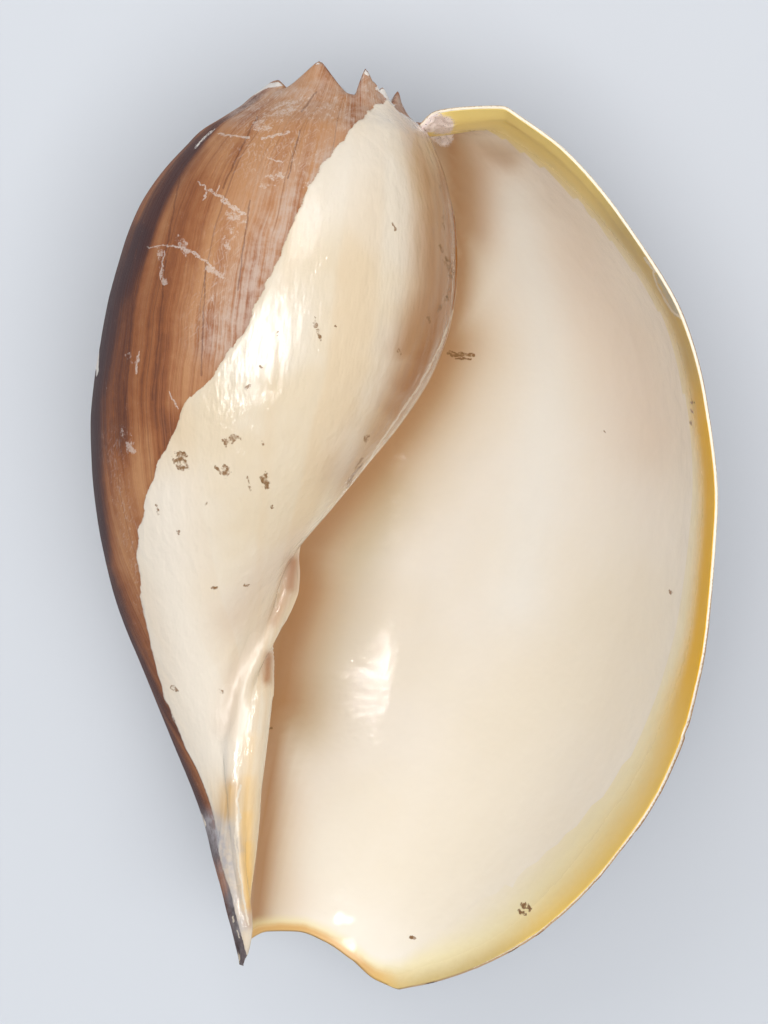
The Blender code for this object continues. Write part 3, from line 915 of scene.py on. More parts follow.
upright = points[used]
picture = to_picture(as_seen(upright))
along = on_points(*[np.broadcast_to(GROWTH_MM * growth(base)[:, None], level.shape)] * 2)
down = on_points(*[np.broadcast_to(row * ROW_MM, level.shape)] * 2)
low, high = BEAD_ROWS
bead = bump(towards_eye, BEAD_TINT, BEAD_TINT) * parietal
bead = bead * rise(level, low, low + 12) * rise(level, high - 12, high - 42)
name_values("upright", upright)
name_values("picture", np.column_stack([picture, NO_THIRD]))
name_values("grown", np.column_stack([along, down, NO_THIRD]))
keep("glaze", glaze)
keep("front", eased(towards_eye * 3 + 0.2), FULL)
keep("bead", bead)
keep("crust", crust, inside_crust)
keep("across_rim", NONE, FULL)
print("picture x from", picture[:, 0].min().round(), "to", picture[:, 0].max().round())

# %% [markdown]
# The gold band is widest at the lower right and narrow in the notch. It is measured in the
# picture, as distance from the edge divided by the band's width there, so 1 is where it ends.
# Levels along the lip say where it is pale, where it is olive and where it fades softly.

# %% The gold band inside the lip
# Level, width of the gold band
GOLD_BAND = np.array([
    (-5, 5), (10, 6), (30, 8.5), (50, 9.5), (75, 8), (100, 5.2), (160, 4.4), (190, 4.6),
    (212, 6.5), (227, 7.5),
])
NOTCH_GOLD, NO_GOLD = 2.2, 9.0
EDGE_STEP = 12
GOLD_REACH = 30.0

in_notch = rise(angle, -20.0, -40.0)
gold_width = curve(level, *GOLD_BAND.T) * (1 - in_notch) + NOTCH_GOLD * in_notch
edge_line = np.concatenate([outer[LAST, ::EDGE_STEP], outer[LAST:NOTCH_COLUMN:-EDGE_STEP, END]])
near_lip = lip_distance < GOLD_REACH
from_edge = abs(from_line(as_seen(inner[near_lip]), to_picture(as_seen(edge_line)))[0])
lip_share = np.full(level.shape, NO_GOLD)
lip_share[near_lip] = from_edge / gold_width[near_lip]
lip_pale = np.maximum(rise(level, 175.0, 205.0), 0.55 * rise(level, 100.0, 40.0))
lip_olive = np.maximum(0.9 * rise(level, 24.0, 2.0) * (1 - in_notch),
                       0.75 * rise(level, 150.0, 172.0) * rise(level, 212.0, 197.0))
keep("lip_share", lip_share)
keep("lip_pale", lip_pale * (1 - in_notch))
keep("lip_olive", lip_olive)
keep("lip_notch", in_notch)
keep("lip_soft", rise(level, 95.0, 60.0) * (1 - in_notch))
print("gold band", gold_width.min(), "to", gold_width.max(), "mm wide")

# %% [markdown]
# A zone is a soft patch along a line, given by where it runs in the picture and how wide it is.
# Outside there is tan where the glaze nears the mouth, lilac and rubbed places on the shoulder,
# dark edges of painted shade, light streaks, wear on the crown, a painted highlight down the left
# edge, dust and painted shadow in the grooves of the columella, and the finish of the tip. In the
# mouth there is painted shade beside the wall, brown with a warmer orange in it and partly the
# lining's own colour, a painted grey-green shade a little further out, and faint tints elsewhere.

# %% Soft zones
# Zone: its lines, each with its width in pixels, its strength, and places in the picture
ZONES_OUTSIDE = {
    "tan": [
        (32, 0.95, 446, 120, 452, 190, 457, 260, 452, 300, 440, 335),
        (31, 0.93, 440, 335, 428, 360), (30, 0.86, 428, 360, 412, 388),
        (24, 0.7, 425, 118, 438, 200, 434, 290, 408, 350), (9, 0.45, 232, 788, 226, 814),
        (28, 0.72, 412, 388, 398, 410), (27, 0.55, 398, 410, 380, 436),
        (25, 0.45, 380, 436, 350, 476),
    ],
    "lilac": [
        (22, 0.75, 285, 96, 320, 92, 350, 104, 372, 106), (12, 0.8, 345, 125, 360, 112),
        (26, 1, 330, 165, 295, 205, 268, 250, 244, 300, 225, 340),
        (24, 0.5, 275, 180, 262, 215), (12, 0.8, 236, 112, 262, 95, 290, 90, 310, 92),
        (9, 0.6, 322, 66, 318, 84), (13, 1, 362, 74, 368, 95, 384, 100, 402, 102, 412, 116),
        (20, 1, 425, 125, 445, 140),
    ],
    # The first five dark lines follow the left edge, where the shell turns away: there the dark is
    # painted shade, with a purple cast of painted reflection. The other lines are darker brown.
    "dark": [
        (17, 0.45, 252, 98, 225, 118, 196, 146), (17, 0.65, 196, 146, 170, 185, 142, 232),
        (17, 0.85, 142, 232, 108, 310), (17, 0.95, 108, 310, 92, 400, 90, 480, 98, 560),
        (15, 0.8, 98, 560, 122, 640, 152, 710, 185, 790, 212, 850),
        (34, 0.40, 190, 185, 165, 240, 144, 300, 132, 360, 122, 430),
        (9, 0.30, 238, 150, 228, 220, 212, 300, 204, 350), (11, 1, 234, 900, 245, 962),
    ],
    "light": [
        (60, 0.8, 300, 100, 330, 130, 300, 170, 265, 200),
        (20, 0.6, 235, 125, 222, 160, 204, 240, 205, 290),
        (16, 0.4, 150, 440, 128, 500, 122, 560), (8, 0.5, 216, 140, 196, 200, 178, 270, 170, 330),
        (14, 0.7, 192, 270, 184, 330, 176, 400), (34, 0.5, 360, 95, 330, 90),
    ],
    "rubbed": [
        (26, 1, 252, 112, 290, 104, 330, 110), (34, 0.9, 262, 150, 300, 150),
        (20, 0.7, 232, 230, 215, 290, 205, 330),
        (10, 0.6, 112, 440, 122, 500, 140, 580, 165, 650), (8, 0.9, 362, 78, 372, 98),
    ],
    # The last line, a thin streak down the left edge, is a painted highlight on a pale chip
    "wear_and_edge_glint": [
        (2.6, 1, 232, 108, 248, 96, 266, 86, 288, 83), (2, 0.62, 195, 148, 202, 140, 213, 130),
        (2.2, 1, 317, 62, 323, 63), (2.4, 1, 361, 73, 364, 70, 368, 74),
        (3, 1, 378, 88, 384, 92, 393, 104), (4, 1, 397, 92, 402, 95, 405, 104),
        (1.6, 1, 98, 337, 97, 372),
    ],
    "golden": [
        (8, 0.25, 250, 740, 248, 780), (8, 0.45, 248, 780, 247, 815),
        (8, 0.65, 247, 815, 247, 845), (8, 0.85, 247, 845, 249, 905),
        (9, 0.40, 230, 790, 226, 812),
    ],
    "satin": [
        (10, 1, 256, 640, 246, 665, 240, 690, 238, 735), (8, 1, 228, 690, 222, 735),
        (7, 1, 236, 792, 238, 880),
    ],
    "silver": [
        (10, 1, 211, 822, 222, 848, 228, 866), (9, 0.7, 228, 866, 234, 895, 240, 930),
        (6, 0.7, 230, 828, 238, 850), (10, 0.35, 240, 930, 244, 965),
    ],
    "milky": [
        (42, 1, 165, 500, 172, 600, 195, 690, 212, 750),
        (34, 0.7, 385, 115, 352, 165, 325, 210),
    ],
    # Painted orange-brown shadow in the pockets under the edges of the folds, and a short streak
    # beside the ridge near the tip
    "orange_painted_shadow": [
        (7, 0.75, 293, 562, 290, 588), (6, 0.40, 287, 596, 274, 622),
        (5, 0.8, 269, 656, 267, 680), (5, 0.5, 252, 905, 249, 925),
    ],
    # The third line runs down the hollow beside the upper cord, where the dust colour is painted
    # shadow; the others are dust
    "dust_and_groove_shade": [
        (13, 0.9, 398, 108, 420, 125, 440, 155), (22, 1, 300, 545, 265, 580, 235, 620),
        (13, 0.8, 272, 606, 252, 648, 236, 680, 226, 725), (14, 0.25, 150, 600, 165, 680),
    ],
}
ZONES_INSIDE = {
    # Painted shade beside the wall of the whorl before and down the columella: brown, and partly
    # the lining's own colour
    "brown_and_painted_shade": [
        (30, 0.8, 452, 140, 458, 200, 460, 260, 457, 300, 446, 345),
        (64, 0.9, 446, 345, 428, 385, 398, 430, 360, 478, 322, 524, 300, 556),
        (74, 0.9, 300, 556, 300, 590, 284, 632, 275, 660, 276, 700),
        (34, 0.7, 276, 700, 270, 760, 264, 830, 258, 890, 254, 925),
        (14, 0.5, 450, 130, 480, 145, 510, 155),
    ],
    # Painted shade, warmer and orange, in the deepest part of that shade, partly the lining's own
    # colour
    "orange_and_painted_shade": [
        (14, 0.8, 450, 135, 458, 200, 460, 260, 457, 300, 446, 345),
        (26, 0.7, 448, 145, 464, 175, 466, 225), (12, 0.4, 450, 146, 480, 152, 505, 160),
        (28, 0.8, 446, 345, 428, 385, 398, 430, 360, 478, 322, 524, 300, 556),
        (30, 0.9, 300, 556, 302, 590, 288, 632, 280, 660, 280, 700),
        (14, 0.9, 276, 700, 270, 760, 264, 830, 258, 890, 254, 925),
    ],
    "cool": [
        (30, 1, 515, 200, 535, 300, 545, 400, 535, 500, 520, 600),
        (30, 0.6, 350, 600, 345, 660, 340, 720),
    ],
    "rosy": [
        (55, 1, 490, 170, 560, 260, 620, 350, 650, 430),
        (26, 0.7, 290, 800, 275, 860, 290, 900),
    ],
    # Painted shade, grey-green, on the lining a little further from the wall
    "painted_grey_shade": [
        (26, 1, 385, 490, 350, 570, 330, 650, 310, 720),
    ],
    "sandy": [
        (90, 1, 600, 640, 520, 760, 440, 880),
    ],
}


def zone(seen, places):
    """A soft patch along each line, the strongest of them at every point."""
    total = np.zeros(seen.shape[:-1])
    for wide, strength, *line in places:
        away, _ = from_line(seen, list(zip(line[::2], line[1::2])))
        total = np.maximum(total, strength * bump(away, 0, wide / PIXELS_PER_MM))
    return total


# A zone ends where the wall turns away, and the back that nobody has seen is evenly dark
BACK_DARK = 0.62
FACE_ONLY = ("wear_and_edge_glint", "rubbed", "light")

shows = np.where(level < 50.0, 1.0, rise(towards_eye, -0.5, -0.2))
shows[:LAST - TURN, :row_of(SUTURE_WALL)] = 0.0
back = BACK_DARK * rise(towards_eye, 0.1, -0.5)
for name, places in ZONES_OUTSIDE.items():
    patch = zone(as_seen(outer), places) * shows
    if name == "dark":
        patch = np.maximum(patch, back)
    if name in FACE_ONLY:
        patch = patch * rise(towards_eye, 0.0, 0.1)
    keep(name, patch)
for name, places in ZONES_INSIDE.items():
    keep(name, NONE, zone(as_seen(inner), places))
print(len(ZONES_OUTSIDE), "zones outside,", len(ZONES_INSIDE), "in the mouth")

# %% [markdown]
# ## Materials
# All colour, gloss and fine relief is made by nodes, so there is no picture to run out of
# detail. `Finish` is a short way to add nodes to a material: each helper adds one node, or a
# chain of them, and gives back its output, so a recipe reads like a sum. `total` adds weighed
# parts, and `coats` lays colour over colour, each by its share.

# %% A short way to add nodes
class Finish:
    """A material, and helpers that add nodes and give back their output."""

    def __init__(self, name):
        self.material = bpy.data.materials.new(name)
        self.material.use_nodes = True
        self.nodes = self.material.node_tree.nodes
        self.links = self.material.node_tree.links
        self.shader = self.nodes["Principled BSDF"]

    def feed(self, socket, value):
        if isinstance(value, bpy.types.NodeSocket):
            self.links.new(value, socket)
        else:
            socket.default_value = value

    def add(self, kind, inputs, output, **settings):
        node = self.nodes.new("ShaderNode" + kind)
        for key, value in settings.items():
            setattr(node, key, value)
        for key, value in inputs.items():
            self.feed(node.inputs[key], value)
        return node.outputs[output]

    def value(self, name):
        return self.add("Attribute", {}, "Fac", attribute_name=name)

    def vector(self, name):
        return self.add("Attribute", {}, "Vector", attribute_name=name)

    def vector_math(self, operation, *parts, output=0):
        return self.add("VectorMath", dict(enumerate(parts)), output, operation=operation)

    def grain(self, vector, scale=1.0, detail=3.0, roughness=0.5, shift=0.0, stretch=None):
        """Noise, with its grain stretched along a direction if it has to be."""
        if stretch:
            vector = self.vector_math("MULTIPLY", vector, stretch)
        if shift:
            vector = self.vector_math("ADD", vector, (shift, shift, shift))
        inputs = {"Vector": vector, "Scale": scale, "Detail": detail, "Roughness": roughness}
        return self.add("TexNoise", inputs, "Fac")

    def between(self, value, low, high):
        inputs = {"Value": value, "From Min": low, "From Max": high}
        return self.add("MapRange", inputs, "Result", interpolation_type="SMOOTHSTEP")

    def wander(self, place, at, scale, reach):
        """A place in the picture, pushed about by up to half the reach so that lines wiggle."""
        push = self.add("TexNoise", {"Vector": at, "Scale": scale, "Detail": 3.0}, "Color")
        push = self.vector_math("SUBTRACT", push, (0.5, 0.5, 0.5))
        return self.vector_math("MULTIPLY_ADD", push, (reach, reach, 0), place)

    def math(self, operation, *parts):
        return self.add("Math", dict(enumerate(parts)), 0, operation=operation)

    def times(self, a, b):
        return self.math("MULTIPLY", a, b)

    def total(self, start, *parts):
        """A start, plus each part times its weight."""
        for part, weight in parts:
            start = self.math("MULTIPLY_ADD", part, weight, start)
        return start

    def mix(self, share, a, b):
        """Colour a, with colour b over it by the share."""
        a, b = ((*c, 1.0) if isinstance(c, tuple) else c for c in (a, b))
        return self.add("Mix", {0: share, 6: a, 7: b}, 2, data_type="RGBA")

    def either(self, share, a, b):
        """Number a, with number b in its place by the share."""
        return self.add("Mix", {0: share, 2: a, 3: b}, 0)

    def coats(self, colour, *coats):
        """The colour, with each coat over it by its share."""
        for share, coat in coats:
            colour = self.mix(share, colour, coat)
        return colour

    def bumped(self, height, distance, normal=None):
        inputs = {"Height": height, "Distance": distance}
        if normal is not None:
            inputs["Normal"] = normal
        return self.add("Bump", inputs, "Normal")

    def shade(self, colour, roughness, normal, shine=0.5):
        self.shader.inputs["Specular IOR Level"].default_value = shine
        for key, value in (("Base Color", colour), ("Roughness", roughness), ("Normal", normal)):
            self.feed(self.shader.inputs[key], value)


print("a finish is ready to be mixed")

# %% [markdown]
# Scratches, stains and chips are strokes: each goes from one place in the picture to another and
# has a width. A stroke's share is worked out from the distance to it, made ragged by noise.

# %% Strokes
# How ragged a mark's outline is, how much of it is solid, and a shift too small to see that makes
# each mark wait for the one before it, because a renderer that has to hold fifty half-done marks
# at once gives up
RAGGED, SOLID, WAIT = 2.6, 0.7, 1e-6
SHORTEST = 1e-6


def stroke(finish, seen, ragged, line):
    """Share inside a mark from one place in the picture to another, with its width."""
    x0, y0, x1, y1, wide = line
    here = finish.vector_math("SUBTRACT", seen, (x0, y0, 0))
    run = (x1 - x0, y1 - y0, 0)
    length = max(run[0] ** 2 + run[1] ** 2, SHORTEST)
    unit = (run[0] / length, run[1] / length, 0)
    part = finish.vector_math("DOT_PRODUCT", here, unit, output="Value")
    part = finish.add("Math", {0: part, 1: 1.0}, 0, operation="MULTIPLY", use_clamp=True)
    back = finish.add("VectorMath", {0: run, 3: part}, 0, operation="SCALE")
    away = finish.vector_math("DISTANCE", here, back, output="Value")
    return finish.between(finish.total(away, (ragged, RAGGED * wide)), wide, wide * SOLID)


def strokes(finish, seen, ragged, lines):
    """The strongest of several marks, each worked out after the one before it."""
    strongest = stroke(finish, seen, ragged, lines[0])
    for line in lines[1:]:
        after = finish.vector_math("MULTIPLY_ADD", strongest, (WAIT, WAIT, WAIT), seen)
        strongest = finish.math("MAXIMUM", strongest, stroke(finish, after, ragged, line))
    return strongest


print("each mark is ragged by up to", RAGGED / 2, "of its width")

# %% [markdown]
# ## Outside: brown shell and glaze
# The outside is chestnut brown and finely streaked along its growth lines, since each strip was
# the lip for a while. The streaks come from noise stretched along those lines. Over it lies the
# cream glaze. One material holds both, and the glaze's own distance value says which one shows.
# Every mark is a place in the picture, a second place, and a width, in pixels.

# %% Marks on the outside
def chained(*places):
    """Marks from each place to the next, each with the width that its start has."""
    return [(x0, y0, x1, y1, wide) for (x0, y0, wide), (x1, y1, _) in zip(places, places[1:])]


# The last scratch runs down the left edge and is a painted highlight on a pale chip
SCRATCHES_AND_EDGE_GLINT = [
    (198, 182, 208, 190, 1), (208, 190, 226, 199, 1.5), (206, 192, 203, 200, 0.9),
    (222, 200, 236, 210, 2.2), (232, 206, 244, 214, 2), (216, 194, 220, 186, 0.8),
    (147, 248, 168, 245, 0.8), (168, 245, 186, 250, 1.2), (182, 248, 197, 255, 1.4),
    (197, 256, 213, 267, 1.1), (211, 266, 213, 271, 1.5), (164, 250, 160, 280, 0.9),
    (218, 134, 250, 138, 0.9), (262, 138, 290, 132, 1), (268, 158, 282, 162, 0.9),
    (139, 352, 136, 374, 1), (168, 392, 178, 408, 0.9), (98, 340, 97, 366, 1.2),
]
WORN_PATCHES = [
    (260, 126, 292, 106, 9), (264, 184, 280, 178, 6), (303, 187, 310, 183, 4),
    (160, 250, 164, 282, 3.5), (228, 214, 242, 222, 5), (180, 240, 186, 252, 5),
    (209, 268, 222, 276, 4), (226, 240, 228, 252, 4), (212, 298, 214, 306, 3.5),
    (128, 356, 134, 362, 4), (124, 430, 132, 450, 5), (232, 228, 236, 236, 4),
]
DARK_LINES = [
    (257, 117, 240, 150, 1), (240, 150, 223, 188, 1), (316, 92, 302, 112, 0.9),
    (182, 165, 166, 250, 1), (300, 130, 288, 178, 0.8), (206, 262, 201, 375, 0.9),
    (136, 250, 124, 420, 1.2), (166, 260, 152, 400, 0.9), (250, 200, 238, 290, 0.9),
]
STAINS = [
    (180, 458, 182, 465, 7), (226, 468, 226, 474, 4.4), (216, 468, 220, 472, 2.4),
    (264, 478, 266, 484, 4.6), (226, 442, 236, 438, 4.4), (206, 503, 206, 504, 2),
    (262, 443, 263, 444, 2), (178, 532, 179, 533, 2), (272, 506, 272, 507, 1.6),
    (393, 224, 395, 229, 1.7), (440, 186, 441, 190, 1.4), (443, 216, 444, 230, 1.1),
    (315, 318, 315, 326, 1.9), (318, 330, 320, 340, 1.6), (335, 325, 336, 326, 1.4),
    (277, 332, 278, 336, 1.4), (261, 366, 262, 367, 1.4), (246, 388, 250, 386, 1.9),
    (447, 260, 452, 275, 3.2), (449, 290, 446, 300, 2), (440, 306, 438, 312, 1.5),
    (367, 436, 366, 441, 2.2), (348, 486, 354, 473, 2.2), (357, 470, 362, 460, 1.8),
    (172, 688, 176, 690, 2.2), (219, 690, 222, 692, 1.8), (211, 589, 217, 588, 1.2),
    (244, 586, 250, 585, 1.2), (156, 505, 158, 515, 1.2), (248, 477, 250, 490, 1.2),
    (440, 245, 442, 252, 1.6), (428, 318, 430, 322, 1.5), (398, 350, 400, 354, 1.5),
]
BEAD_LINE = chained(
    (459, 278, 1.0), (454, 310, 1.1), (441, 345, 1.2), (419, 386, 1.2), (389, 430, 1.2),
    (360, 475, 1.2), (331, 511, 1.2), (299, 552, 1.2),
)
# A painted highlight: a pale streak of glints down the sharp ridge to the tip
GLINT = chained(
    (240, 786, 1.3), (237, 800, 1.2), (239, 815, 2.4), (236, 838, 1.2), (238, 862, 1.0),
    (243, 895, 1.1), (248, 925, 1.1),
)
EDGE_CHIPS = [
    (233, 918, 234, 922, 1.2), (237, 931, 239, 938, 0.8), (187, 788, 190, 796, 1.2),
    (200, 815, 205, 826, 1.6), (167, 735, 172, 748, 1.2),
]
print(len(SCRATCHES_AND_EDGE_GLINT), "scratches,", len(STAINS), "stains")

# %% Colours of the outside
CHESTNUT, BROWN, TAN = (0.080, 0.016, 0.005), (0.30, 0.093, 0.023), (0.50, 0.24, 0.10)
# The dark purple on the next line is painted shade on the edge that turns away, with the cast of a
# painted reflection
DARK_PURPLE_AND_EDGE_SHADE, LILAC, CHALK = (0.040, 0.009, 0.011), (0.56, 0.42, 0.34), (0.80, 0.75, 0.70)
CREAM, PALE_CREAM, BUFF = (0.76, 0.64, 0.47), (0.79, 0.70, 0.57), (0.72, 0.53, 0.32)
GLAZE_TAN, STAIN, GOLD = (0.33, 0.12, 0.022), (0.25, 0.13, 0.05), (0.90, 0.56, 0.16)
# The dust colour on the next line also paints shadow down the hollow beside the upper cord
SILVER, DUST_AND_SHADE_COLOUR, BEAD_PALE = (0.46, 0.43, 0.45), (0.68, 0.54, 0.42), (0.88, 0.78, 0.66)
# The orange-brown on the next line is painted shadow in the pockets under the folds
ORANGE_SHADOW_COLOUR, MILKY = (0.40, 0.17, 0.07), (0.85, 0.77, 0.66)
CRUST_PINK, CRUST_SPECK = (0.86, 0.74, 0.70), (0.26, 0.19, 0.19)
OUTSIDE_SHINE, GROWTH_SWAY, RUB_LEANS = 0.35, 2.5, (-12.0, 38.0)


def gritty(finish, at):
    """Fine grit, and a ragged edge for marks, from -0.5 to 0.5."""
    ragged = finish.math("SUBTRACT", finish.grain(at, 0.8, 5.0, 0.65, 8.0), 0.5)
    return finish.grain(at, 2.2, 4.0, 0.75, 5.0), ragged


def lumpy(finish, at, marks, low, high):
    """Marks broken up into lumps, like dried mud."""
    return finish.times(marks, finish.between(finish.grain(at, 0.9, 3.0, 0.6, 13.0), low, high))


def crusted(finish, colour, grit):
    """The colour, with the pinkish crust and its dark specks over it."""
    share = finish.between(finish.total(finish.value("crust"), (grit, 1.3)), 0.9, 1.2)
    speck = finish.between(grit, 0.59, 0.63)
    return finish.mix(share, colour, finish.mix(speck, CRUST_PINK, CRUST_SPECK))


print("the outside has", len(RUB_LEANS), "directions of rubbing")

# %% [markdown]
# The brown is one tone from dark to light. Wide, middling and fine growth streaks, blotches and
# the light and dark zones all add to it, and two steps of colour read it. Then come the nearly
# black edge, which is painted shade with a purple cast of painted reflection where the shell
# turns away, thin seams and the lilac veil where the brown is worn thin.

# %% Brown shell
def brown_shell(finish, grown, fine, mottle):
    band = finish.grain(grown, detail=3.0, shift=3.7, stretch=(0.24, 0.006, 1))
    wide = finish.grain(grown, detail=1.0, shift=9.1, stretch=(0.075, 0.004, 1))
    seams = finish.grain(grown, detail=2.0, shift=21.0, stretch=(0.9, 0.006, 1))
    light, dark, lilac = (finish.value(name) for name in ("light", "dark", "lilac"))
    # The dark zone is painted shade along the edge that turns away, and darker brown elsewhere
    tone = finish.total(-0.28, (wide, 0.85), (band, 0.6), (fine, 0.36), (mottle, 0.25),
                        (light, 0.36), (dark, -0.55))
    veil = finish.total(finish.times(mottle, 0.5), (fine, 0.6))
    veil = finish.times(lilac, finish.between(veil, 0.40, 0.66))
    return finish.coats(
        finish.mix(finish.between(tone, 0.35, 0.80), CHESTNUT, BROWN),
        (finish.between(tone, 0.65, 1.15), TAN),
        # Painted shade with a purple cast of painted reflection along the edge that turns away;
        # also the dark tip and back
        (finish.times(finish.between(dark, 0.30, 0.95), 0.93), DARK_PURPLE_AND_EDGE_SHADE),
        (finish.times(finish.between(seams, 0.62, 0.70), 0.35), CHESTNUT),
        (finish.times(veil, 0.85), LILAC),
    )


def pale_marks(finish, at, seen, ragged, grit, mottle):
    """Share of chalky white in flecks, scratches and rubs that lean two ways, and a painted edge
    highlight.
    """
    worn_patch = strokes(finish, seen, ragged, WORN_PATCHES)
    smear = finish.total(finish.times(mottle, 0.7), (grit, 0.5))
    flecks = finish.between(finish.total(smear, (worn_patch, 0.17)), 0.75, 0.83)
    scratch = finish.times(strokes(finish, seen, ragged, SCRATCHES_AND_EDGE_GLINT),
                           finish.between(grit, 0.38, 0.50))
    pale = finish.math("MAXIMUM", finish.times(flecks, 0.8), scratch)
    for lean in RUB_LEANS:
        leaning = finish.add("VectorRotate", {"Vector": at, "Angle": math.radians(lean)}, 0,
                             rotation_type="Z_AXIS")
        rubs = finish.grain(leaning, 1.0, 4.0, 0.7, lean, stretch=(1.7, 0.28, 0.6))
        rubs = finish.times(finish.between(rubs, 0.53, 0.68), finish.value("rubbed"))
        pale = finish.math("MAXIMUM", pale, finish.times(rubs, 0.7))
    return finish.times(pale, finish.value("front"))


print("brown runs from", CHESTNUT, "to", TAN)

# %% [markdown]
# The glaze is cream, in faint bands, and milky where it is thickest. Towards the mouth it turns
# tan. Dust, gold by the ridge, the pale bead and mud stains lie over it. Painted shadow lies in
# the grooves of the columella: dust-coloured down the hollow beside the upper cord, and
# orange-brown in the pockets under the edges of the folds.

# %% Cream glaze
def cream_glaze(finish, at, grown, straight, ragged, smudge):
    clouds = finish.grain(at, 0.045, 2.0, 0.5, 2.0)
    bands = finish.grain(grown, detail=1.0, shift=5.0, stretch=(0.11, 0.002, 1))
    tanned = finish.total(0.75, (finish.between(bands, 0.40, 0.60), 0.3))
    line = strokes(finish, straight, ragged, BEAD_LINE)
    return finish.coats(
        finish.mix(finish.between(clouds, 0.35, 0.65), CREAM, PALE_CREAM),
        (finish.times(finish.between(bands, 0.45, 0.65), 0.35), BUFF),
        (finish.value("milky"), MILKY),
        (finish.times(finish.value("tan"), tanned), GLAZE_TAN),
        # Dust, and painted shadow down the hollow beside the upper cord
        (finish.times(finish.value("dust_and_groove_shade"), 0.6), DUST_AND_SHADE_COLOUR),
        (finish.value("golden"), GOLD),
        (finish.times(finish.value("bead"), 0.8), BEAD_PALE),
        # Painted orange-brown shadow in the pockets under the folds
        (finish.value("orange_painted_shadow"), ORANGE_SHADOW_COLOUR),
        (finish.times(line, 0.55), PALE_CREAM),
        (smudge, STAIN),
    )


print("cream runs from", CREAM, "to", PALE_CREAM)

# %% [markdown]
# Brown is dull and its streaks can be felt. Glaze is smooth and shines, with a faint ripple that
# breaks up what it mirrors.

# %% Outside finish
def outside_finish():
    finish = Finish("shell_outside")
    at, grown, picture = (finish.vector(name) for name in ("upright", "grown", "picture"))
    mottle = finish.grain(at, 0.35, 5.0, 0.65)
    sway = finish.grain(at, 0.06, 2.0)
    grown = finish.vector_math("MULTIPLY_ADD", sway, (GROWTH_SWAY, 0, 0), grown)
    fine = finish.grain(grown, detail=3.0, roughness=0.6, stretch=(1.3, 0.025, 1))
    grit, ragged = gritty(finish, at)
    straight = finish.wander(picture, at, 0.25, 4.0)
    wiggly = finish.wander(picture, at, 0.55, 7.0)
    front = finish.value("front")

    pale = pale_marks(finish, at, wiggly, ragged, grit, mottle)
    lines = strokes(finish, straight, ragged, DARK_LINES)
    # Chalky wear on the crown's spines, and a painted highlight on a pale chip down the left edge
    wear_and_edge_glint = finish.between(finish.math("ADD", finish.value("wear_and_edge_glint"), grit), 0.95, 1.05)
    brown = finish.coats(brown_shell(finish, grown, fine, mottle),
                         (finish.times(lines, 0.45), CHESTNUT),
                         (finish.times(pale, 0.5), CHALK), (wear_and_edge_glint, CHALK))

    stains = finish.times(strokes(finish, wiggly, ragged, STAINS), front)
    smudge = lumpy(finish, at, stains, 0.34, 0.60)
    cream = cream_glaze(finish, at, grown, straight, ragged, smudge)
    glazed = finish.total(finish.value("glaze"), (finish.grain(at, 1.6, 3.0), 0.8))
    glazed = finish.between(glazed, 0.30, 0.55)
    cloudy = finish.total(0.45, (finish.between(mottle, 0.35, 0.60), 0.5))
    # A painted highlight down the ridge, and pale chips by the glaze's edge
    painted_glint_and_chips = finish.times(strokes(finish, straight, ragged, GLINT + EDGE_CHIPS), front)
    colour = finish.coats(brown, (glazed, cream),
                          (finish.times(finish.value("silver"), cloudy), SILVER),
                          (painted_glint_and_chips, PALE_CREAM))

    dull = finish.total(0.55, (fine, 0.2), (pale, 0.3))
    shiny = finish.total(0.04, (mottle, 0.04), (smudge, 0.3), (finish.value("satin"), 0.4))
    streaks = finish.times(fine, finish.math("SUBTRACT", 1.0, glazed))
    ripple = finish.grain(at, 1.0, 2.0, stretch=(0.35, 0.12, 0.35))
    normal = finish.bumped(streaks, 0.00030)
    normal = finish.bumped(finish.times(ripple, glazed), 0.0005, normal)
    normal = finish.bumped(grit, 0.00006, normal)
    finish.shade(crusted(finish, colour, grit), finish.either(glazed, dull, shiny), normal,
                 OUTSIDE_SHINE)
    return finish.material


print("shine of the outside:", OUTSIDE_SHINE)

# %% [markdown]
# ## The mouth: lining and gold lip
# The lining is smooth as china: cream with a little pink. Beside the wall it carries painted shade,
# brown with orange in it and partly its own colour, and a painted grey-green shade a little further
# out. Round the lip runs a band of gold, widest at the lower right and palest at the top.
# At the right the edge has flaked once, and shows a grey scar with a pale border.

# %% Marks and colours of the mouth
MOUTH_STAINS = [
    (449, 354, 472, 355, 2.4), (456, 359, 470, 359, 1.6), (523, 905, 529, 908, 3.2),
    (519, 911, 524, 914, 2), (412, 937, 414, 938, 2.2), (268, 728, 272, 728, 1.6),
    (670, 592, 671, 593, 1.8), (692, 402, 692, 403, 1.6), (692, 411, 692, 412, 1.6),
    (691, 422, 691, 423, 1.6), (604, 431, 605, 432, 1.2),
]
FLAKE_EDGES = [
    (653, 272, 657, 285, 1), (657, 285, 664, 298, 1.1), (664, 298, 672, 311, 1.2),
    (672, 311, 681, 318, 1.3), (645, 258, 655, 272, 1.4),
]
FLAKE_SCARS = [(659, 276, 667, 292, 3.6), (667, 292, 677, 313, 3.8)]
FLAKE_GREY = (0.46, 0.47, 0.44)
LINING, LINING_SANDY, LINING_SHINE = (0.97, 0.925, 0.855), (0.93, 0.86, 0.72), 0.35

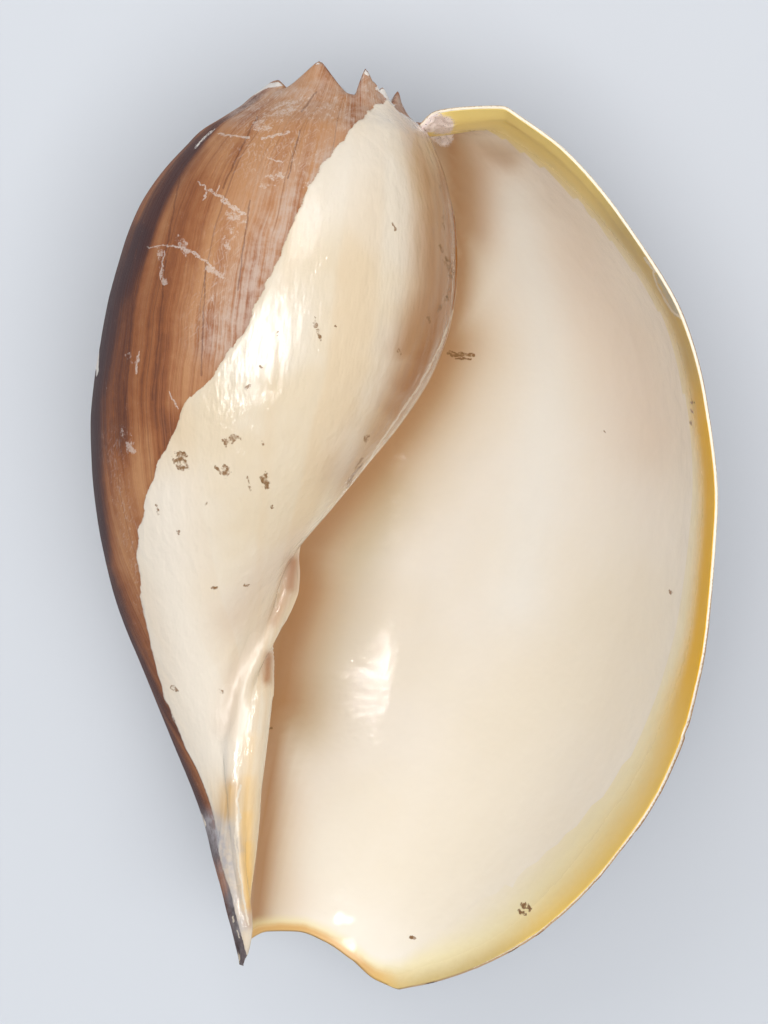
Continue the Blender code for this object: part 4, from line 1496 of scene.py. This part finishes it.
# Zone in the mouth: its tint and strength. The grey-green, brown and orange zones are painted
# shade, the brown and orange partly the lining's own colour.
TINTS = {
    "sandy": (LINING_SANDY, 0.7),
    "rosy": ((0.90, 0.78, 0.67), 0.8),
    "painted_grey_shade": ((0.66, 0.63, 0.50), 0.8),
    "cool": ((0.96, 0.945, 0.90), 0.8),
    "brown_and_painted_shade": ((0.62, 0.45, 0.26), 0.9),
    "orange_and_painted_shade": ((0.40, 0.16, 0.035), 0.85),
}
LIP_GOLD, LIP_PALE, LIP_OLIVE = (0.94, 0.53, 0.008), (0.95, 0.75, 0.26), (0.58, 0.45, 0.20)
LIP_NOTCH, LIP_INNER = (0.74, 0.46, 0.18), (0.93, 0.82, 0.44)


def lip_gold(finish):
    """Gold that turns pale towards the top and olive at the corners."""
    return finish.coats(LIP_GOLD, (finish.value("lip_pale"), LIP_PALE),
                        (finish.value("lip_olive"), LIP_OLIVE))


print("the lining has", len(TINTS), "tints")

# %% Lining finish
def lining_finish():
    finish = Finish("shell_lining")
    at, grown, picture = (finish.vector(name) for name in ("upright", "grown", "picture"))
    clouds = finish.grain(at, 0.03, 2.0)
    mottle = finish.grain(at, 0.5, 4.0, 0.6)
    grit, ragged = gritty(finish, at)
    tints = [(finish.times(finish.value(name), strength), tint)
             for name, (tint, strength) in TINTS.items()]
    share = finish.total(finish.value("lip_share"), (mottle, 0.2))
    gold = finish.coats(lip_gold(finish), (finish.value("lip_notch"), LIP_NOTCH))
    laid = finish.either(finish.value("lip_soft"), finish.between(share, 1.5, 0.6),
                         finish.between(share, 1.3, 0.0))
    scar = strokes(finish, picture, ragged, FLAKE_SCARS)
    stains = strokes(finish, finish.wander(picture, at, 0.55, 7.0), ragged, MOUTH_STAINS)
    smudge = lumpy(finish, at, stains, 0.30, 0.50)
    colour = finish.mix(finish.times(finish.between(clouds, 0.35, 0.65), 0.4),
                        LINING, LINING_SANDY)
    colour = finish.coats(
        colour, *tints,
        (finish.times(finish.between(share, 2.4, 0.9), 0.7), LIP_INNER),
        (laid, gold),
        (finish.times(scar, 0.65), FLAKE_GREY),
        (strokes(finish, picture, ragged, FLAKE_EDGES), PALE_CREAM),
        (smudge, STAIN),
    )
    gloss = finish.total(0.02, (mottle, 0.04), (finish.between(share, 1.3, 0.6), 0.45),
                         (smudge, 0.3))
    normal = finish.bumped(finish.grain(grown, 1.0, 2.0, stretch=(0.05, 0.02, 1)), 0.00025)
    normal = finish.bumped(finish.grain(at, 0.16, 2.0), 0.00028, normal)
    normal = finish.bumped(grit, 0.00003, normal)
    finish.shade(crusted(finish, colour, grit), gloss, normal, LINING_SHINE)
    return finish.material


print("shine of the lining:", LINING_SHINE)

# %% [markdown]
# ## The rim
# At the very edge the layers show in section: a fine pale line, and outside it a tan ledge.

# %% Rim finish
RIM_PALE, RIM_TAN = (0.86, 0.80, 0.68), (0.52, 0.34, 0.18)
TAN_FROM, TAN_FULL = 125.0, 100.0


def rim_finish():
    finish = Finish("shell_rim")
    at = finish.vector("upright")
    grit = finish.grain(at, 1.4, 4.0, 0.7)
    height = finish.add("SeparateXYZ", {0: at}, "Y")
    low = finish.total(-0.22, (finish.between(height, TAN_FROM, TAN_FULL), 0.45))
    across = finish.value("across_rim")
    outward = finish.math("ADD", grit, finish.total(low, (across, -1.2)))
    colour = finish.coats(
        finish.mix(finish.between(outward, -0.02, 0.22), RIM_PALE, RIM_TAN),
        (finish.between(finish.total(across, (grit, 0.3)), 0.92, 1.08), lip_gold(finish)),
    )
    finish.shade(crusted(finish, colour, grit), finish.total(0.3, (grit, 0.3)),
                 finish.bumped(grit, 0.0001))
    return finish.material


for make in (outside_finish, lining_finish, rim_finish):
    material = make()
    shell_mesh.materials.append(material)
    print(material.name, "has", len(material.node_tree.nodes), "nodes")

# %% [markdown]
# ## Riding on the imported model
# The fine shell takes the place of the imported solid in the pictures, and rides on the same body.

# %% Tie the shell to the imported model
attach(shell, "root")
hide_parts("shell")
print("the shell rides on root")

# %% [markdown]
# ## Table, light and eye
# The table is one pale, slightly rough sheet. A big lamp at the upper left and one overhead give
# the soft shadows and aren't mirrored. A window and a skylight light nothing, and only put their
# bright patches on the glaze and the lining. A pale sky fills in the rest. The eye looks straight
# down from 0.7 m, with a small roll, as in the picture that the marks were measured in.

# %% Table
FLOOR_SIZE, TABLE_GREY, TABLE_ROUGHNESS = 12.0, (0.62, 0.66, 0.72, 1.0), 0.7


def pale_table():
    mesh = bpy.data.meshes.new("table_top")
    half = FLOOR_SIZE / 2
    corners = [(-half, -half, 0), (half, -half, 0), (half, half, 0), (-half, half, 0)]
    mesh.from_pydata(corners, [], [(0, 1, 2, 3)])
    table = bpy.data.objects.new("table_top", mesh)
    bpy.context.scene.collection.objects.link(table)
    material = bpy.data.materials.new("table_paint")
    material.use_nodes = True
    shader = material.node_tree.nodes["Principled BSDF"]
    shader.inputs["Base Color"].default_value = TABLE_GREY
    shader.inputs["Roughness"].default_value = TABLE_ROUGHNESS
    mesh.materials.append(material)
    return table


table = pale_table()
print("table", FLOOR_SIZE, "m wide")

# %% Light
UPRIGHT_TO_TABLE = Matrix.Translation(Vector(-LAID_MIDDLE)) @ LAID_DOWN.to_4x4()


def on_table(upright):
    """A place in the upright frame, in metres on the table."""
    return (UPRIGHT_TO_TABLE @ Vector(upright)) * MM


def add_lamp(name, at, aim, size, watts, colour, mirrored=True, lighting=True, roll=0.0):
    """A flat lamp of a size in metres, turned to its aim and rolled by some degrees."""
    lamp = bpy.data.lights.new(name, "AREA")
    lamp.shape = "RECTANGLE"
    lamp.size, lamp.size_y = size
    lamp.energy, lamp.color = watts, colour
    stand = bpy.data.objects.new(name, lamp)
    stand.location = on_table(at)
    turn = (on_table(aim) - stand.location).to_track_quat("-Z", "Y")
    stand.rotation_euler = (turn @ Quaternion((0, 0, 1), math.radians(roll))).to_euler()
    stand.visible_glossy, stand.visible_diffuse = mirrored, lighting
    bpy.context.scene.collection.objects.link(stand)


MIDDLE = (EYE_ACROSS, EYE_UP, 0.0)
WHITE, WARM_WHITE, LAMP_WHITE = (1.0, 1.0, 1.0), (1.0, 0.98, 0.95), (1.0, 0.97, 0.93)
SKY, SKY_STRENGTH = (0.97, 0.98, 1.0, 1.0), 0.45

add_lamp("big_lamp", (-600.0, 900.0, 1300.0), MIDDLE, (1.1, 1.1), 6.0, LAMP_WHITE,
         mirrored=False)
add_lamp("overhead", (260.0, -160.0, 1860.0), MIDDLE, (1.2, 1.2), 23.0, WARM_WHITE,
         mirrored=False)
add_lamp("window", (-130.0, 870.0, 1215.0), (27.0, 83.0, -60.0), (0.23, 0.09), 7.5, WHITE,
         lighting=False)
add_lamp("skylight", (-357.0, -50.0, 1483.0), (-12.0, 160.0, 43.0), (0.70, 0.34), 36.0, WHITE,
         lighting=False, roll=-27.0)
world = bpy.data.worlds.new("room")
world.use_nodes = True
background = world.node_tree.nodes["Background"]
background.inputs["Color"].default_value = SKY
background.inputs["Strength"].default_value = SKY_STRENGTH
bpy.context.scene.world = world
bpy.context.scene.view_settings.view_transform = "Standard"
print(len(bpy.data.lights), "lamps")

# %% Camera
CAMERA_PLACE = (EYE_ACROSS, EYE_UP, EYE_AWAY)
CAMERA_LENS, CAMERA_FILM, CAMERA_REACH = 63.2, 24.0, 10.0

camera = bpy.data.cameras.new("eye")
camera.sensor_fit, camera.sensor_height, camera.lens = "VERTICAL", CAMERA_FILM, CAMERA_LENS
camera.clip_end = CAMERA_REACH
eye = bpy.data.objects.new("eye", camera)
eye.matrix_world = Matrix.LocRotScale(
    on_table(CAMERA_PLACE),
    (LAID_DOWN.to_4x4() @ Matrix.Rotation(PICTURE_LEAN, 4, "Z")).to_quaternion(),
    None,
)
bpy.context.scene.collection.objects.link(eye)
bpy.context.scene.camera = eye
print("the eye is", round((eye.location - on_table(MIDDLE)).length, 3), "m away")
